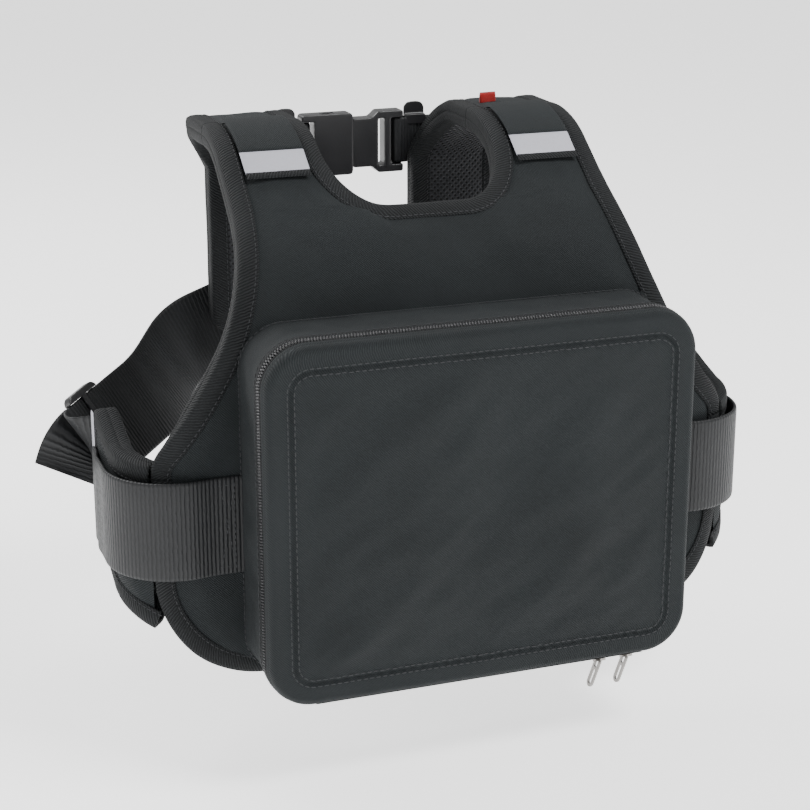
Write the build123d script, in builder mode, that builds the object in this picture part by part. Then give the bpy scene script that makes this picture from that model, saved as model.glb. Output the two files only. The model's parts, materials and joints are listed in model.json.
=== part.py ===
from build123d import *
import os
from math import atan2, cos, radians, sin

os.makedirs("parts", exist_ok=True)

# A padded harness vest: a back panel with a zipped pouch, two side wings with grab
# handles, and two padded straps that go over the shoulders and down the far side,
# where a side-release buckle joins them and webbing ties each to its wing.
#
# Frame: +Z up, +X to the wearer's right seen from the pouch side, -Y out of the pouch.
# The origin is midway between the undersides of the two straps, where the shoulders
# carry the vest.  All sizes are millimetres.

# ---------------------------------------------------------------- cloth layers
shell_t = 1.2           # coated outer cloth
foam_t = 6.0            # closed-cell foam
lining_t = 2.5          # open spacer mesh against the wearer
pad_t = shell_t + foam_t + lining_t
tape_t = 0.8            # binding tape
tape_w = 9.5            # binding tape shown on each face
webbing_t = 1.6

# ------------------------------------------------------- form the vest wraps on
half_width = 166.0      # outer skin of the side wings
panel_y = -102.0        # outer skin of the back panel
far_y = 54.0            # outer skin of the straps on the far side
wrap_r = 32.0           # corner between panel and wing
lean_z = -52.0          # where the panel starts to lean over the shoulders
crown_start_y = -21.0   # where the lean meets the crown of the shoulder
lean_r = 80.0
crown_r = 60.0
far_r = 30.0
form_foot = -300.0      # below everything

# ----------------------------------------------------------------- back panel
panel_half = 152.0      # edge of the panel, part way round the corner
panel_edge_y = -76.0    # the panel stays in front of this beside the wings
panel_foot = -247.0
foot_r = 55.0           # rounded lower corners
arm_top_half = 97.0     # outer edge of the shoulder
arm_top_z = -4.0        # above this the shoulder's edge runs straight over
arm_mid = (115.0, -76.0)
arm_high = (99.0, -22.0)
arm_low_z = -131.0      # where the armhole meets the wing
arm_low_r = 10.0
neck_half = 47.0
neck_foot = -24.0
neck_r = 27.0
above = 40.0            # clear of the crown
beyond = 9.0            # how far a cutting block reaches past the cloth

# -------------------------------------------------------------- shoulder straps
strap_w = arm_top_half - neck_half
strap_far_in = 33.0     # inner edge on the far side
strap_far_z = -22.0     # where the straps stop drawing together
strap_foot = -112.0
strap_foot_r = 9.0
strip_w = 15.0          # reflective strip, along the strap
strip_t = 0.5
strip_y = -40.0         # middle of the strip
strip_gap = 0.2         # between the strip and the tape beside it
strip_in = 2.0          # from the wing's upper edge to its strip
strap_over = 2.0        # how far below the crown the straps keep their width
tab_size = (9.0, 1.0, 7.0)

# ------------------------------------------------------------------ side wings
wing_end_y = -32.0
wing_end_top = -120.0
wing_end_foot = -185.0
wing_foot_z = -222.0
wing_mid_foot = (-71.0, -206.0)
wing_gap = 0.3          # between the panel's tape and the wing
wing_end_r = 7.0
wing_dip = 6.0          # the wing's upper edge sits this far below the armhole's foot
wing_under = 2.0        # drawn this far past the panel's skin

# ---------------------------------------------------------------- grab handles
handle_w = 50.0
handle_top = -141.0
handle_stand = 2.4      # gap for the fingers, behind the webbing
handle_end_y = -38.0
handle_sewn = 9.0       # length sewn down at each end
wing_strip_w = 5.0

# ----------------------------------------------------------------------- pouch
pouch_half = 110.0
pouch_top = -67.0
pouch_foot = -247.0
pouch_r = 22.0
pouch_y = -149.0        # front of the flap
pouch_wall = 1.5
flap_depth = 8.0
seam_gap = 0.3          # cloth to cloth, on bodies that move apart
coil_w = 2.0            # one side of the zip's coil
coil_proud = 0.7
coil_slit = 1.0         # between the two sides
zip_tape_w = 3.0
fold_margin = 1.0       # from the fold's end to the rounded corner

# ------------------------------------------------------------------ zip sliders
slider_len = 8.5
slider_w = 7.0
slider_plate = 1.1
slider_gap = 0.3
slider_round = 1.5
slider_x = (67.0, 82.0)
slider_post = 0.6
bridge_h = 3.4
bridge_t = 1.3
bridge_len = 6.8
pull_len = 17.0
pull_w = 6.0
pull_t = 1.0
pull_slot = (2.2, 8.0)  # hole in the pull's free end
pull_rim = 2.3          # from the hole to the pull's free end, less the pin
pull_notch = 1.2        # depth of the notch below the pin
pull_side = 0.4         # each side of the bridge, in the notch
pin_short = 0.2         # the pin stops this far inside the pull's edge
pull_tilt = 20.0        # how far the pulls hang from plumb
pin_r = 0.65
pin_clear = 0.05

# ------------------------------------------------------------ chest strap, buckle
chest_w = 25.0
chest_z = -14.5
chest_anchor = 68.0     # far end of each webbing, on its strap
anchor_len = 10.0
buckle_y = 56.0         # middle of the buckle's thickness
buckle_h = 34.0
buckle_t = 10.0
buckle_half = 29.2      # from the middle to the far edge of the webbing bar
buckle_round = 2.0
bar_w = 3.5
bar_t = 2.8
slot_w = 3.7
cavity_len = 21.0
buckle_wall = 1.8
male_base = 6.0
waist_half = 13.5       # half height of the buckle's narrow middle
waist_len = 11.0
guide = (14.0, 4.0)     # tongue between the prongs
prong_t = 3.0
prong_w = 5.0
prong_z = 8.6
prong_tip = -17.5
barb = (-16.5, -9.5)    # the barb's two ends
barb_h = 5.4            # into the window in the wall
hinge_r = 1.5
hinge_mouth = 2.34      # opening the prong's neck swings in
barb_land = 2.0
prong_slope = 1.0
prong_neck = 1.2
prong_gap = 0.6         # from the prong's shoulder to the buckle's body
window_clear = 0.8
mouth = 1.0             # how far a cut runs past an open end
waist_slope = 4.0       # length over which the narrow middle widens
webbing_clear = 0.5
keeper_w = 12.0
keeper_t = 1.2
keeper_up = 8.0         # how far the keeper's fold stands above the webbing

# -------------------------------------------------------- side webbing, slides
side_w = 46.0
side_slide_at = (155.0, -6.0, -146.0)
side_bar = (24.0, 10.0, 38.0)       # direction of the slide's bars, right side
side_run = (-0.74, 0.63, 0.25)      # direction of the webbing through the slide
side_flat = (12.0, 34.0)            # straight webbing below and above the slide's middle
strap_join = (67.0, -106.5)         # middle of the sewn end on the strap, x and z
strap_join_tilt = 20.0
strap_join_len = 38.0
wing_join_z = -152.0
strap_pull = 26.0       # how slowly the webbing turns, at the strap and at the wing
wing_pull = 7.0
slide_len = 22.0
slide_rail = 3.6
slide_bar = 3.2
slide_bar_t = 1.6
slide_clear = 0.4
slide_round = 4.0
tail_drop = (9.0, -5.0, -15.0)      # from the slide's lower end to the tail's end


# ------------------------------------------------------------------ form, skins
lean_at = (panel_y, lean_z)
crown_at = (crown_start_y, pad_t)
far_at = (far_y, pad_t)


def corner_near(point):
    """The vertex of the sketch being drawn that is nearest to a point."""
    return vertices().sort_by_distance(point)[0]


def form(inset):
    """The solid inside a skin that lies inset millimetres in from the outer cloth."""
    with BuildPart() as body:
        with BuildSketch(Plane.XY.offset(form_foot)):
            with Locations((0, (panel_y + far_y) / 2)):
                RectangleRounded(2 * half_width - 2 * inset, far_y - panel_y - 2 * inset, wrap_r - inset)
        extrude(amount=above - form_foot)
        with BuildSketch(Plane.YZ):
            with BuildLine():
                Polyline(
                    (panel_y, form_foot - above),
                    lean_at,
                    crown_at,
                    far_at,
                    (far_y, form_foot - above),
                    close=True,
                )
            make_face()
            fillet(corner_near(lean_at), lean_r)
            fillet(corner_near(crown_at), crown_r)
            fillet(corner_near(far_at), far_r)
            if inset != 0:
                offset(amount=-inset, mode=Mode.REPLACE)
        extrude(amount=half_width + above, both=True, mode=Mode.INTERSECT)
    return body.part


def skin(outer, inner):
    """A layer of even thickness between two insets."""
    with BuildPart() as layer:
        add(form(outer))
        add(form(inner), mode=Mode.SUBTRACT)
    return layer.part


def panel_outline(grow):
    """The panel's outline seen from the pouch side, from the near side to the crown."""
    with BuildPart() as prism:
        with BuildSketch(Plane.XZ):
            with BuildLine():
                Line((0, panel_foot), (panel_half, panel_foot))
                Line((panel_half, panel_foot), (panel_half, arm_low_z))
                ThreePointArc((panel_half, arm_low_z), arm_mid, arm_high)
                Polyline(
                    arm_high,
                    (arm_top_half, arm_top_z),
                    (arm_top_half, above),
                    (neck_half, above),
                    (neck_half, neck_foot),
                    (0, neck_foot),
                )
                Line((0, neck_foot), (0, panel_foot))
            make_face()
            fillet(corner_near((panel_half, panel_foot)), foot_r)
            fillet(corner_near((panel_half, arm_low_z)), arm_low_r)
            fillet(corner_near((neck_half, neck_foot)), neck_r)
            mirror(about=Plane.YZ)
            if grow != 0:
                offset(amount=grow, kind=Kind.ARC, mode=Mode.REPLACE)
        extrude(amount=-panel_y + above)
        for side in (-1, 1):
            with Locations((side * half_width, panel_edge_y / 2, form_foot / 2 - wing_gap)):
                Box(2 * wrap_r, -panel_edge_y + 2 * wing_gap, -form_foot - above, mode=Mode.SUBTRACT)
    return prism.part


def strap_outline(grow):
    """The right strap's outline on the far side, from the crown to its end."""
    with BuildPart() as prism:
        with BuildSketch(Plane.XZ):
            with BuildLine():
                Polyline(
                    (neck_half, above),
                    (neck_half, pad_t - strap_over),
                    (strap_far_in, strap_far_z),
                    (strap_far_in, strap_foot),
                    (strap_far_in + strap_w, strap_foot),
                    (strap_far_in + strap_w, strap_far_z),
                    (arm_top_half, pad_t - strap_over),
                    (arm_top_half, above),
                    close=True,
                )
            make_face()
            fillet(vertices().group_by(Axis.Y)[0], strap_foot_r)
            if grow != 0:
                offset(amount=grow, kind=Kind.ARC, mode=Mode.REPLACE)
        extrude(amount=-(far_y + above))
    return prism.part


def wing_outline(grow):
    """The right wing's outline seen from the side."""
    with BuildPart() as prism:
        with BuildSketch(Plane.YZ.offset(panel_half + wing_gap)):
            with BuildLine():
                Polyline(
                    (panel_y - wing_under, wing_foot_z),
                    wing_mid_foot,
                    (wing_end_y, wing_end_foot),
                    (wing_end_y, wing_end_top),
                    ((wing_end_y + panel_y) / 2, (arm_low_z + wing_end_top) / 2 - wing_dip),
                    (panel_y - wing_under, arm_low_z - wing_dip),
                    close=True,
                )
            make_face()
            fillet(vertices().group_by(Axis.X)[-1], wing_end_r)
            if grow != 0:
                offset(amount=grow, kind=Kind.ARC, mode=Mode.REPLACE)
        extrude(amount=above)
    return prism.part


def block(low, high):
    """A box between two corners."""
    size = [b - a for a, b in zip(low, high)]
    middle = [(a + b) / 2 for a, b in zip(low, high)]
    return Pos(*middle) * Box(*size, mode=Mode.PRIVATE)


outer_leaf = skin(-tape_t, 0)
inner_leaf = skin(pad_t, pad_t + tape_t)
whole_wall = skin(0, pad_t)
taped_wall = skin(-tape_t, pad_t + tape_t)


def channel(outline):
    """Binding tape folded round an edge: a leaf on each face, and the rim."""
    with BuildPart() as band:
        add(outline(tape_t))
        add(outline(-tape_w), mode=Mode.SUBTRACT)
    with BuildPart() as ring:
        add(outline(tape_t))
        add(outline(0), mode=Mode.SUBTRACT)
    with BuildPart() as rim:
        add(taped_wall)
        add(ring.part, mode=Mode.INTERSECT)
    with BuildPart() as outer:
        add(outer_leaf)
        add(band.part, mode=Mode.INTERSECT)
    with BuildPart() as inner:
        add(inner_leaf)
        add(band.part, mode=Mode.INTERSECT)
    with BuildPart() as tape:
        add(rim.part)
        add(outer.part)
        add(inner.part)
    return tape.part


def write(part, name):
    """Label a finished piece and write it."""
    part.label = name
    export_step(part, f"parts/{name}.step")


def both_sides(part, name):
    """Write the right piece and its mirror image."""
    write(part, f"{name}_right")
    with BuildPart() as other:
        add(mirror(part, about=Plane.YZ))
    write(other.part, f"{name}_left")


# ------------------------------------------------------------------- back panel
panel_prism = panel_outline(0)
layers = {
    "panel_shell": (0, shell_t),
    "panel_foam": (shell_t, shell_t + foam_t),
    "panel_lining": (shell_t + foam_t, pad_t),
}
for layer_name, (outer, inner) in layers.items():
    with BuildPart() as layer:
        add(skin(outer, inner))
        add(panel_prism, mode=Mode.INTERSECT)
    write(layer.part, layer_name)

panel_tape = channel(panel_outline)
neck_tape, edge_tape = panel_tape.solids().sort_by(SortBy.VOLUME)
with BuildPart() as neck_binding:
    add(neck_tape)
write(neck_binding.part, "neck_binding")

tape_split_z = arm_low_z - arm_low_r
with BuildPart() as armhole_binding:
    add(edge_tape)
    add(block((0, panel_y - beyond, tape_split_z), (half_width, beyond, above)), mode=Mode.INTERSECT)
both_sides(armhole_binding.part, "armhole_binding")

with BuildPart() as hem_binding:
    add(edge_tape)
    add(
        block((-half_width, panel_y - beyond, form_foot), (half_width, beyond, tape_split_z)),
        mode=Mode.INTERSECT,
    )
write(hem_binding.part, "hem_binding")

# ------------------------------------------------- shoulder straps, far side
with BuildPart() as strap_pad:
    add(skin(0, shell_t + foam_t))
    add(strap_outline(0), mode=Mode.INTERSECT)
both_sides(strap_pad.part, "shoulder_strap")

with BuildPart() as strap_lining:
    add(skin(shell_t + foam_t, pad_t))
    add(strap_outline(0), mode=Mode.INTERSECT)
both_sides(strap_lining.part, "strap_lining")

with BuildPart() as strap_binding:
    add(channel(strap_outline))
both_sides(strap_binding.part, "strap_binding")

# reflective strip between the two tapes, on the near side of the crown
lean_slope = atan2(pad_t - lean_z, crown_start_y - panel_y)
strip_rise = strip_w * cos(lean_slope)
with BuildPart() as shoulder_strip:
    add(skin(-strip_t, 0))
    add(
        block(
            (neck_half + tape_w + strip_gap, strip_y - strip_rise / 2, lean_z),
            (arm_top_half - tape_w - strip_gap, strip_y + strip_rise / 2, above),
        ),
        mode=Mode.INTERSECT,
    )
both_sides(shoulder_strip.part, "shoulder_reflective")

# little folded tab in the seam on top of one shoulder
with BuildPart() as size_tab:
    with BuildSketch(Plane.XY.offset(pad_t)):
        with Locations((neck_half + strap_w / 3, far_y / 4)):
            Rectangle(tab_size[0], tab_size[1])
    extrude(amount=tab_size[2])
write(size_tab.part, "shoulder_tab")

# ------------------------------------------------------------------- side wings
with BuildPart() as wing:
    add(whole_wall)
    add(wing_outline(0), mode=Mode.INTERSECT)
    add(panel_outline(tape_t + wing_gap), mode=Mode.SUBTRACT)
both_sides(wing.part, "side_wing")

with BuildPart() as wing_binding:
    add(channel(wing_outline))
    add(panel_outline(tape_t + wing_gap), mode=Mode.SUBTRACT)
both_sides(wing_binding.part, "wing_binding")

# ---------------------------------------------------------------- grab handles
handle_foot = handle_top - handle_w
handle_start = pouch_half + 1
with BuildPart() as grab_handle:
    add(skin(-handle_stand - webbing_t, -handle_stand))
    add(
        block(
            (handle_start, panel_y - beyond, handle_foot),
            (half_width + beyond, handle_end_y, handle_top),
        ),
        mode=Mode.INTERSECT,
    )
    add(block(
        (handle_start, panel_y - handle_stand, handle_foot),
        (handle_start + handle_sewn, panel_y, handle_top),
    ))
    add(block(
        (half_width + tape_t, handle_end_y - handle_sewn, handle_foot),
        (half_width + handle_stand, handle_end_y, handle_top),
    ))
both_sides(grab_handle.part, "grab_handle")

with BuildPart() as wing_strip:
    add(skin(-tape_t - strip_t, -tape_t))
    add(
        block(
            (panel_half, wing_end_y - wing_strip_w, wing_end_foot + tape_w),
            (half_width + beyond, wing_end_y, wing_end_top - strip_in),
        ),
        mode=Mode.INTERSECT,
    )
both_sides(wing_strip.part, "wing_reflective")

# ----------------------------------------------------------------------- pouch
pouch_mid = (pouch_top + pouch_foot) / 2
pouch_h = pouch_top - pouch_foot
flap_back = pouch_y + flap_depth
coil_flap = flap_back + coil_w
coil_body = coil_flap + coil_slit
tape_body = coil_body + coil_w
gusset_front = tape_body + zip_tape_w
fold_half = pouch_half - pouch_r - fold_margin


def pouch_prism(grow, front, back):
    """A rounded rectangle the size of the pouch, between two depths."""
    with BuildPart() as prism:
        with BuildSketch(Plane.XZ.offset(-back)):
            with Locations((0, pouch_mid)):
                RectangleRounded(2 * pouch_half + 2 * grow, pouch_h + 2 * grow, pouch_r + grow)
        extrude(amount=back - front)
    return prism.part


def pouch_ring(grow, wall, front, back):
    """A ring of cloth round the pouch."""
    with BuildPart() as ring:
        add(pouch_prism(grow, front, back))
        add(pouch_prism(grow - wall, front, back), mode=Mode.SUBTRACT)
    return ring.part


def fold_zone(extra):
    """The stretch of the lower wall that stays with the pouch when the flap opens."""
    return block(
        (-fold_half - extra, pouch_y + pouch_wall, pouch_foot - beyond),
        (fold_half + extra, tape_body, pouch_foot + pouch_wall + extra),
    )


with BuildPart() as pouch_back:
    add(pouch_prism(0, panel_y - pouch_wall, panel_y + beyond))
    add(form(0), mode=Mode.SUBTRACT)
    add(panel_tape, mode=Mode.SUBTRACT)
write(pouch_back.part, "pouch_back")

with BuildPart() as pouch_gusset:
    add(pouch_ring(0, pouch_wall, gusset_front, panel_y - pouch_wall))
write(pouch_gusset.part, "pouch_gusset")

with BuildPart() as zip_tape:
    add(pouch_ring(0, pouch_wall, tape_body, gusset_front))
write(zip_tape.part, "zip_tape")

with BuildPart() as coil_on_pouch:
    add(pouch_ring(coil_proud, pouch_wall + coil_proud, coil_body, tape_body))
write(coil_on_pouch.part, "zip_coil_pouch")

with BuildPart() as coil_on_flap:
    add(pouch_ring(coil_proud, pouch_wall + coil_proud, flap_back, coil_flap))
    add(fold_zone(seam_gap), mode=Mode.SUBTRACT)
write(coil_on_flap.part, "zip_coil_flap")

with BuildPart() as pouch_flap:
    add(pouch_prism(0, pouch_y, flap_back))
    add(pouch_prism(-pouch_wall, pouch_y + pouch_wall, flap_back), mode=Mode.SUBTRACT)
    add(fold_zone(seam_gap), mode=Mode.SUBTRACT)
write(pouch_flap.part, "pouch_flap")

with BuildPart() as flap_fold:
    add(block(
        (-fold_half, pouch_y + pouch_wall + seam_gap, pouch_foot),
        (fold_half, coil_flap, pouch_foot + pouch_wall),
    ))
write(flap_fold.part, "flap_fold")

# ------------------------------------------------------------------ zip sliders
coil_low = pouch_foot - coil_proud
zip_mid = (coil_flap + coil_body) / 2
pin_z = coil_low - slider_gap - slider_plate - bridge_h + bridge_t + pin_r + pin_clear
for side_name, x in zip(("left", "right"), slider_x):
    with BuildPart() as zip_slider:
        with BuildSketch(Plane.XY.offset(coil_low - slider_gap - slider_plate)):
            with Locations((x, zip_mid)):
                RectangleRounded(slider_len, slider_w, slider_round)
        extrude(amount=slider_plate)
        with BuildSketch(Plane.XY.offset(pouch_foot + pouch_wall + slider_gap)):
            with Locations((x, zip_mid)):
                RectangleRounded(slider_len, slider_w, slider_round)
        extrude(amount=slider_plate)
        with BuildSketch(Plane.XY.offset(coil_low - slider_gap)):
            with Locations((x, zip_mid)):
                Rectangle(slider_len / 2, slider_post)
        extrude(amount=2 * slider_gap + coil_proud + pouch_wall)
        with BuildSketch(Plane.XZ.offset(-zip_mid)):
            with Locations((x, coil_low - slider_gap - slider_plate)):
                Rectangle(bridge_len, 2 * bridge_h)
                Rectangle(
                    bridge_len - 2 * bridge_t,
                    2 * bridge_h - 2 * bridge_t,
                    mode=Mode.SUBTRACT,
                )
            with Locations((x, coil_low)):
                Rectangle(slider_len, 2 * (slider_gap + slider_plate), mode=Mode.SUBTRACT)
            with Locations((x, coil_low + slider_w)):
                Rectangle(2 * slider_len, 2 * slider_w, mode=Mode.SUBTRACT)
        extrude(amount=bridge_t / 2, both=True)
    write(zip_slider.part, f"zip_slider_{side_name}")

    with BuildPart() as zip_pull:
        with BuildSketch(Plane((x, zip_mid, pin_z), x_dir=(0, 1, 0), z_dir=(1, 0, 0))):
            with Locations((0, -pull_len / 2 + pin_r)):
                SlotOverall(pull_len, pull_w, rotation=90)
            with Locations((0, -pull_len + pull_slot[1] / 2 + pull_rim)):
                SlotOverall(pull_slot[1], pull_slot[0], rotation=90, mode=Mode.SUBTRACT)
            with Locations((0, -pin_r - pull_notch)):
                Rectangle(bridge_t + 2 * pull_side, 2 * bridge_h, mode=Mode.SUBTRACT)
        extrude(amount=pull_t / 2, both=True)
        with BuildSketch(Plane((x, zip_mid, pin_z), x_dir=(1, 0, 0), z_dir=(0, -1, 0))):
            Circle(pin_r)
        extrude(amount=pull_w / 2 - pin_short, both=True)
    tilted = zip_pull.part.rotate(Axis((x, zip_mid, pin_z), (0, 1, 0)), pull_tilt)
    write(tilted, f"zip_pull_{side_name}")

# ------------------------------------------------------------ chest strap, buckle
chest_low = chest_z - chest_w / 2
chest_high = chest_z + chest_w / 2
chest_near = far_y + tape_t
chest_far = chest_near + webbing_t
cavity_half = buckle_h / 2 - buckle_wall
cavity_deep = buckle_t / 2 - buckle_wall
opening_half = chest_w / 2 + webbing_clear
slot_near = buckle_half - bar_w - slot_w


def across_buckle(points):
    """A box in the buckle's own frame: x, depth about its middle, height about its middle."""
    low, high = points
    return block(
        (low[0], buckle_y + low[1], chest_z + low[2]),
        (high[0], buckle_y + high[1], chest_z + high[2]),
    )


def buckle_plate(outline, corner_r):
    """The buckle's outline, through its thickness."""
    with BuildPart() as plate:
        with BuildSketch(Plane.XZ.offset(-buckle_y)):
            with BuildLine():
                Polyline(*[(x, chest_z + z) for x, z in outline], close=True)
            make_face()
            fillet(vertices(), corner_r)
        extrude(amount=buckle_t / 2, both=True)
    return plate.part


def webbing_end():
    """The opening at the far end, with the bar the webbing turns round, for x > 0."""
    with BuildPart() as cut:
        add(across_buckle((
            (slot_near, -buckle_t, -opening_half),
            (buckle_half + mouth, buckle_t, opening_half),
        )))
        add(across_buckle((
            (buckle_half - bar_w, -bar_t / 2, -opening_half),
            (buckle_half, bar_t / 2, opening_half),
        )), mode=Mode.SUBTRACT)
    return cut.part


end_cut = webbing_end()
with BuildPart() as buckle_female:
    add(buckle_plate(
        [
            (0, -buckle_h / 2),
            (-buckle_half, -buckle_h / 2),
            (-buckle_half, buckle_h / 2),
            (0, buckle_h / 2),
        ],
        buckle_round,
    ))
    add(mirror(end_cut, about=Plane.YZ), mode=Mode.SUBTRACT)
    add(across_buckle((
        (-cavity_len, -cavity_deep, -cavity_half),
        (mouth, cavity_deep, cavity_half),
    )), mode=Mode.SUBTRACT)
    add(across_buckle((
        (barb[0] - window_clear, -prong_t / 2 - window_clear, -buckle_h),
        (barb[1] + window_clear / 4, prong_t / 2 + window_clear, buckle_h),
    )), mode=Mode.SUBTRACT)
write(buckle_female.part, "buckle_female")

with BuildPart() as buckle_male:
    add(buckle_plate(
        [
            (0, -waist_half),
            (waist_len, -waist_half),
            (waist_len + waist_slope, -buckle_h / 2),
            (buckle_half, -buckle_h / 2),
            (buckle_half, buckle_h / 2),
            (waist_len + waist_slope, buckle_h / 2),
            (waist_len, waist_half),
            (0, waist_half),
        ],
        buckle_round / 2,
    ))
    add(end_cut, mode=Mode.SUBTRACT)
    add(across_buckle((
        (slot_near - bar_w - slot_w, -buckle_t, -opening_half),
        (slot_near - bar_w, buckle_t, opening_half),
    )), mode=Mode.SUBTRACT)
    add(across_buckle((
        (-guide[0], -prong_t / 2, -guide[1] / 2),
        (0, prong_t / 2, guide[1] / 2),
    )))
    for side in (-1, 1):
        with BuildSketch(Plane.XZ.offset(-buckle_y)):
            with Locations((male_base / 2, chest_z + side * prong_z)):
                Circle(hinge_r + pin_clear)
            with Locations((0, chest_z + side * prong_z)):
                Rectangle(male_base, hinge_mouth)
        extrude(amount=prong_t / 2 + pin_clear, both=True, mode=Mode.SUBTRACT)
write(buckle_male.part, "buckle_male")

for prong_name, side in (("upper", 1), ("lower", -1)):
    prong_out = prong_z + prong_w / 2
    prong_in = prong_z - prong_w / 2
    with BuildPart() as prong:
        with BuildSketch(Plane.XZ.offset(-buckle_y)):
            with Locations((male_base / 2, chest_z + side * prong_z)):
                Circle(hinge_r)
            with Locations(((male_base / 2 - hinge_r / 2 - prong_gap) / 2, chest_z + side * prong_z)):
                Rectangle(male_base / 2 + prong_gap - hinge_r / 2, prong_neck, mode=Mode.ADD)
            with BuildLine():
                Polyline(
                    (-prong_gap, chest_z + side * prong_in),
                    (prong_tip, chest_z + side * (prong_in + prong_slope)),
                    (prong_tip, chest_z + side * prong_out),
                    (barb[0], chest_z + side * (prong_out + barb_h / 2)),
                    (barb[1] - barb_land, chest_z + side * (prong_out + barb_h)),
                    (barb[1], chest_z + side * (prong_out + barb_h)),
                    (barb[1], chest_z + side * prong_out),
                    (-prong_gap, chest_z + side * prong_out),
                    close=True,
                )
            make_face()
        extrude(amount=prong_t / 2, both=True)
    write(prong.part, f"buckle_prong_{prong_name}")

loop_out = webbing_clear + webbing_t
with BuildPart() as chest_webbing:
    add(across_buckle((
        (buckle_half - bar_w - loop_out, -bar_t / 2 - loop_out, -chest_w / 2),
        (buckle_half + loop_out, bar_t / 2 + loop_out, chest_w / 2),
    )))
    add(across_buckle((
        (buckle_half - bar_w - webbing_clear, -bar_t / 2 - webbing_clear, -chest_w),
        (buckle_half + webbing_clear, bar_t / 2 + webbing_clear, chest_w),
    )), mode=Mode.SUBTRACT)
    add(block(
        (buckle_half + webbing_clear, chest_near, chest_low),
        (chest_anchor, chest_far, chest_high),
    ))
    add(block(
        (chest_anchor - anchor_len, far_y - far_r, chest_low),
        (chest_anchor, chest_near, chest_high),
    ))
    add(form(0), mode=Mode.SUBTRACT)
both_sides(chest_webbing.part, "chest_webbing")

keeper_at = buckle_half + loop_out + keeper_w / 2
with BuildPart() as keeper:
    with BuildSketch(Plane.XZ.offset(-chest_far)):
        with Locations((keeper_at, (chest_low + chest_high + keeper_up) / 2)):
            RectangleRounded(keeper_w, chest_w + keeper_up, keeper_w / 3)
    extrude(amount=-keeper_t)
    add(block(
        (keeper_at - keeper_w / 2, chest_near - keeper_t, chest_high),
        (keeper_at + keeper_w / 2, chest_far, chest_high + keeper_t),
    ))
    add(block(
        (keeper_at - keeper_w / 2, chest_near - keeper_t, chest_high - keeper_w / 3),
        (keeper_at + keeper_w / 2, chest_near, chest_high),
    ))
both_sides(keeper.part, "chest_keeper")

# -------------------------------------------------------- side webbing, slides
run = Vector(*side_run).normalized()
raw_bar = Vector(*side_bar)
up_slide = (raw_bar - run * run.dot(raw_bar)).normalized()
tilt = radians(strap_join_tilt)
off_strap = Vector(cos(tilt), 0, -sin(tilt))
up_strap = Vector(sin(tilt), 0, cos(tilt))
slide_at = Vector(*side_slide_at)
strap_mid = Vector(strap_join[0], far_y + tape_t + webbing_t / 2, strap_join[1])
wing_mid_x = half_width - pad_t / 2
wing_end = Vector(wing_mid_x, wing_end_y + tape_t, wing_join_z)


def station(at, along, up):
    """A cross-section of the side webbing: where it is, where it heads, which way is up."""
    return Plane(origin=at, x_dir=up, z_dir=along)


def flat_run(start, length):
    """Straight webbing from one station."""
    with BuildPart() as band:
        with BuildSketch(start):
            Rectangle(side_w, webbing_t)
        extrude(amount=length)
    return band.part


def turning_run(start, end, pull):
    """Webbing that turns and twists from one station to another."""
    p0, p3 = start.origin, end.origin
    p1, p2 = p0 + start.z_dir * pull, p3 - end.z_dir * pull
    with BuildPart() as band:
        for share in (0, 0.25, 0.5, 0.75, 1):
            rest = 1 - share
            at = p0 * rest**3 + p1 * 3 * rest**2 * share + p2 * 3 * rest * share**2 + p3 * share**3
            along = (p1 - p0) * rest**2 + (p2 - p1) * 2 * rest * share + (p3 - p2) * share**2
            along = along.normalized()
            up = start.x_dir * rest + end.x_dir * share
            up = (up - along * along.dot(up)).normalized()
            with BuildSketch(station(at, along, up)):
                Rectangle(side_w, webbing_t)
        loft(ruled=True)
    return band.part


slide_low = station(slide_at - run * side_flat[0], run, up_slide)
slide_high = station(slide_at + run * side_flat[1], run, up_slide)
on_strap = station(strap_mid + off_strap * strap_join_len / 2, -off_strap, up_strap)
with BuildPart() as side_webbing:
    add(flat_run(on_strap, strap_join_len))
    add(turning_run(slide_high, on_strap, strap_pull))
    add(flat_run(slide_low, side_flat[0] + side_flat[1]))
both_sides(side_webbing.part, "side_webbing")
for side_name, side in (("right", 1), ("left", -1)):
    start = station(
        Vector(side * wing_end.X, wing_end.Y, wing_end.Z), Vector(0, 1, 0), Vector(0, 0, 1)
    )
    end = station(
        Vector(side * slide_low.origin.X, slide_low.origin.Y, slide_low.origin.Z),
        Vector(side * run.X, run.Y, run.Z),
        Vector(side * up_slide.X, up_slide.Y, up_slide.Z),
    )
    write(turning_run(start, end, wing_pull), f"wing_webbing_{side_name}")

slide_outer = webbing_t / 2 + slide_clear + slide_bar_t
slide_width = side_w + 2 * slide_clear + 2 * slide_rail
slide_plane = Plane(origin=slide_at, x_dir=up_slide, z_dir=up_slide.cross(run))
with BuildPart() as side_slide:
    with BuildSketch(slide_plane.offset(-slide_outer)):
        RectangleRounded(slide_width, slide_len, slide_round)
    extrude(amount=2 * slide_outer)
    with BuildSketch(slide_plane.offset(-slide_outer)):
        Rectangle(slide_width - 2 * slide_rail, slide_len - 2 * slide_bar)
    extrude(amount=2 * slide_outer, mode=Mode.SUBTRACT)
    with BuildSketch(slide_plane.offset(-slide_outer + slide_bar_t)):
        Rectangle(slide_width - 2 * slide_rail, slide_len)
    extrude(amount=2 * slide_outer, mode=Mode.SUBTRACT)
    with BuildSketch(slide_plane.offset(slide_outer - slide_bar_t)):
        Rectangle(slide_width - slide_rail, slide_bar)
    extrude(amount=slide_bar_t)
both_sides(side_slide.part, "side_slide")

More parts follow.
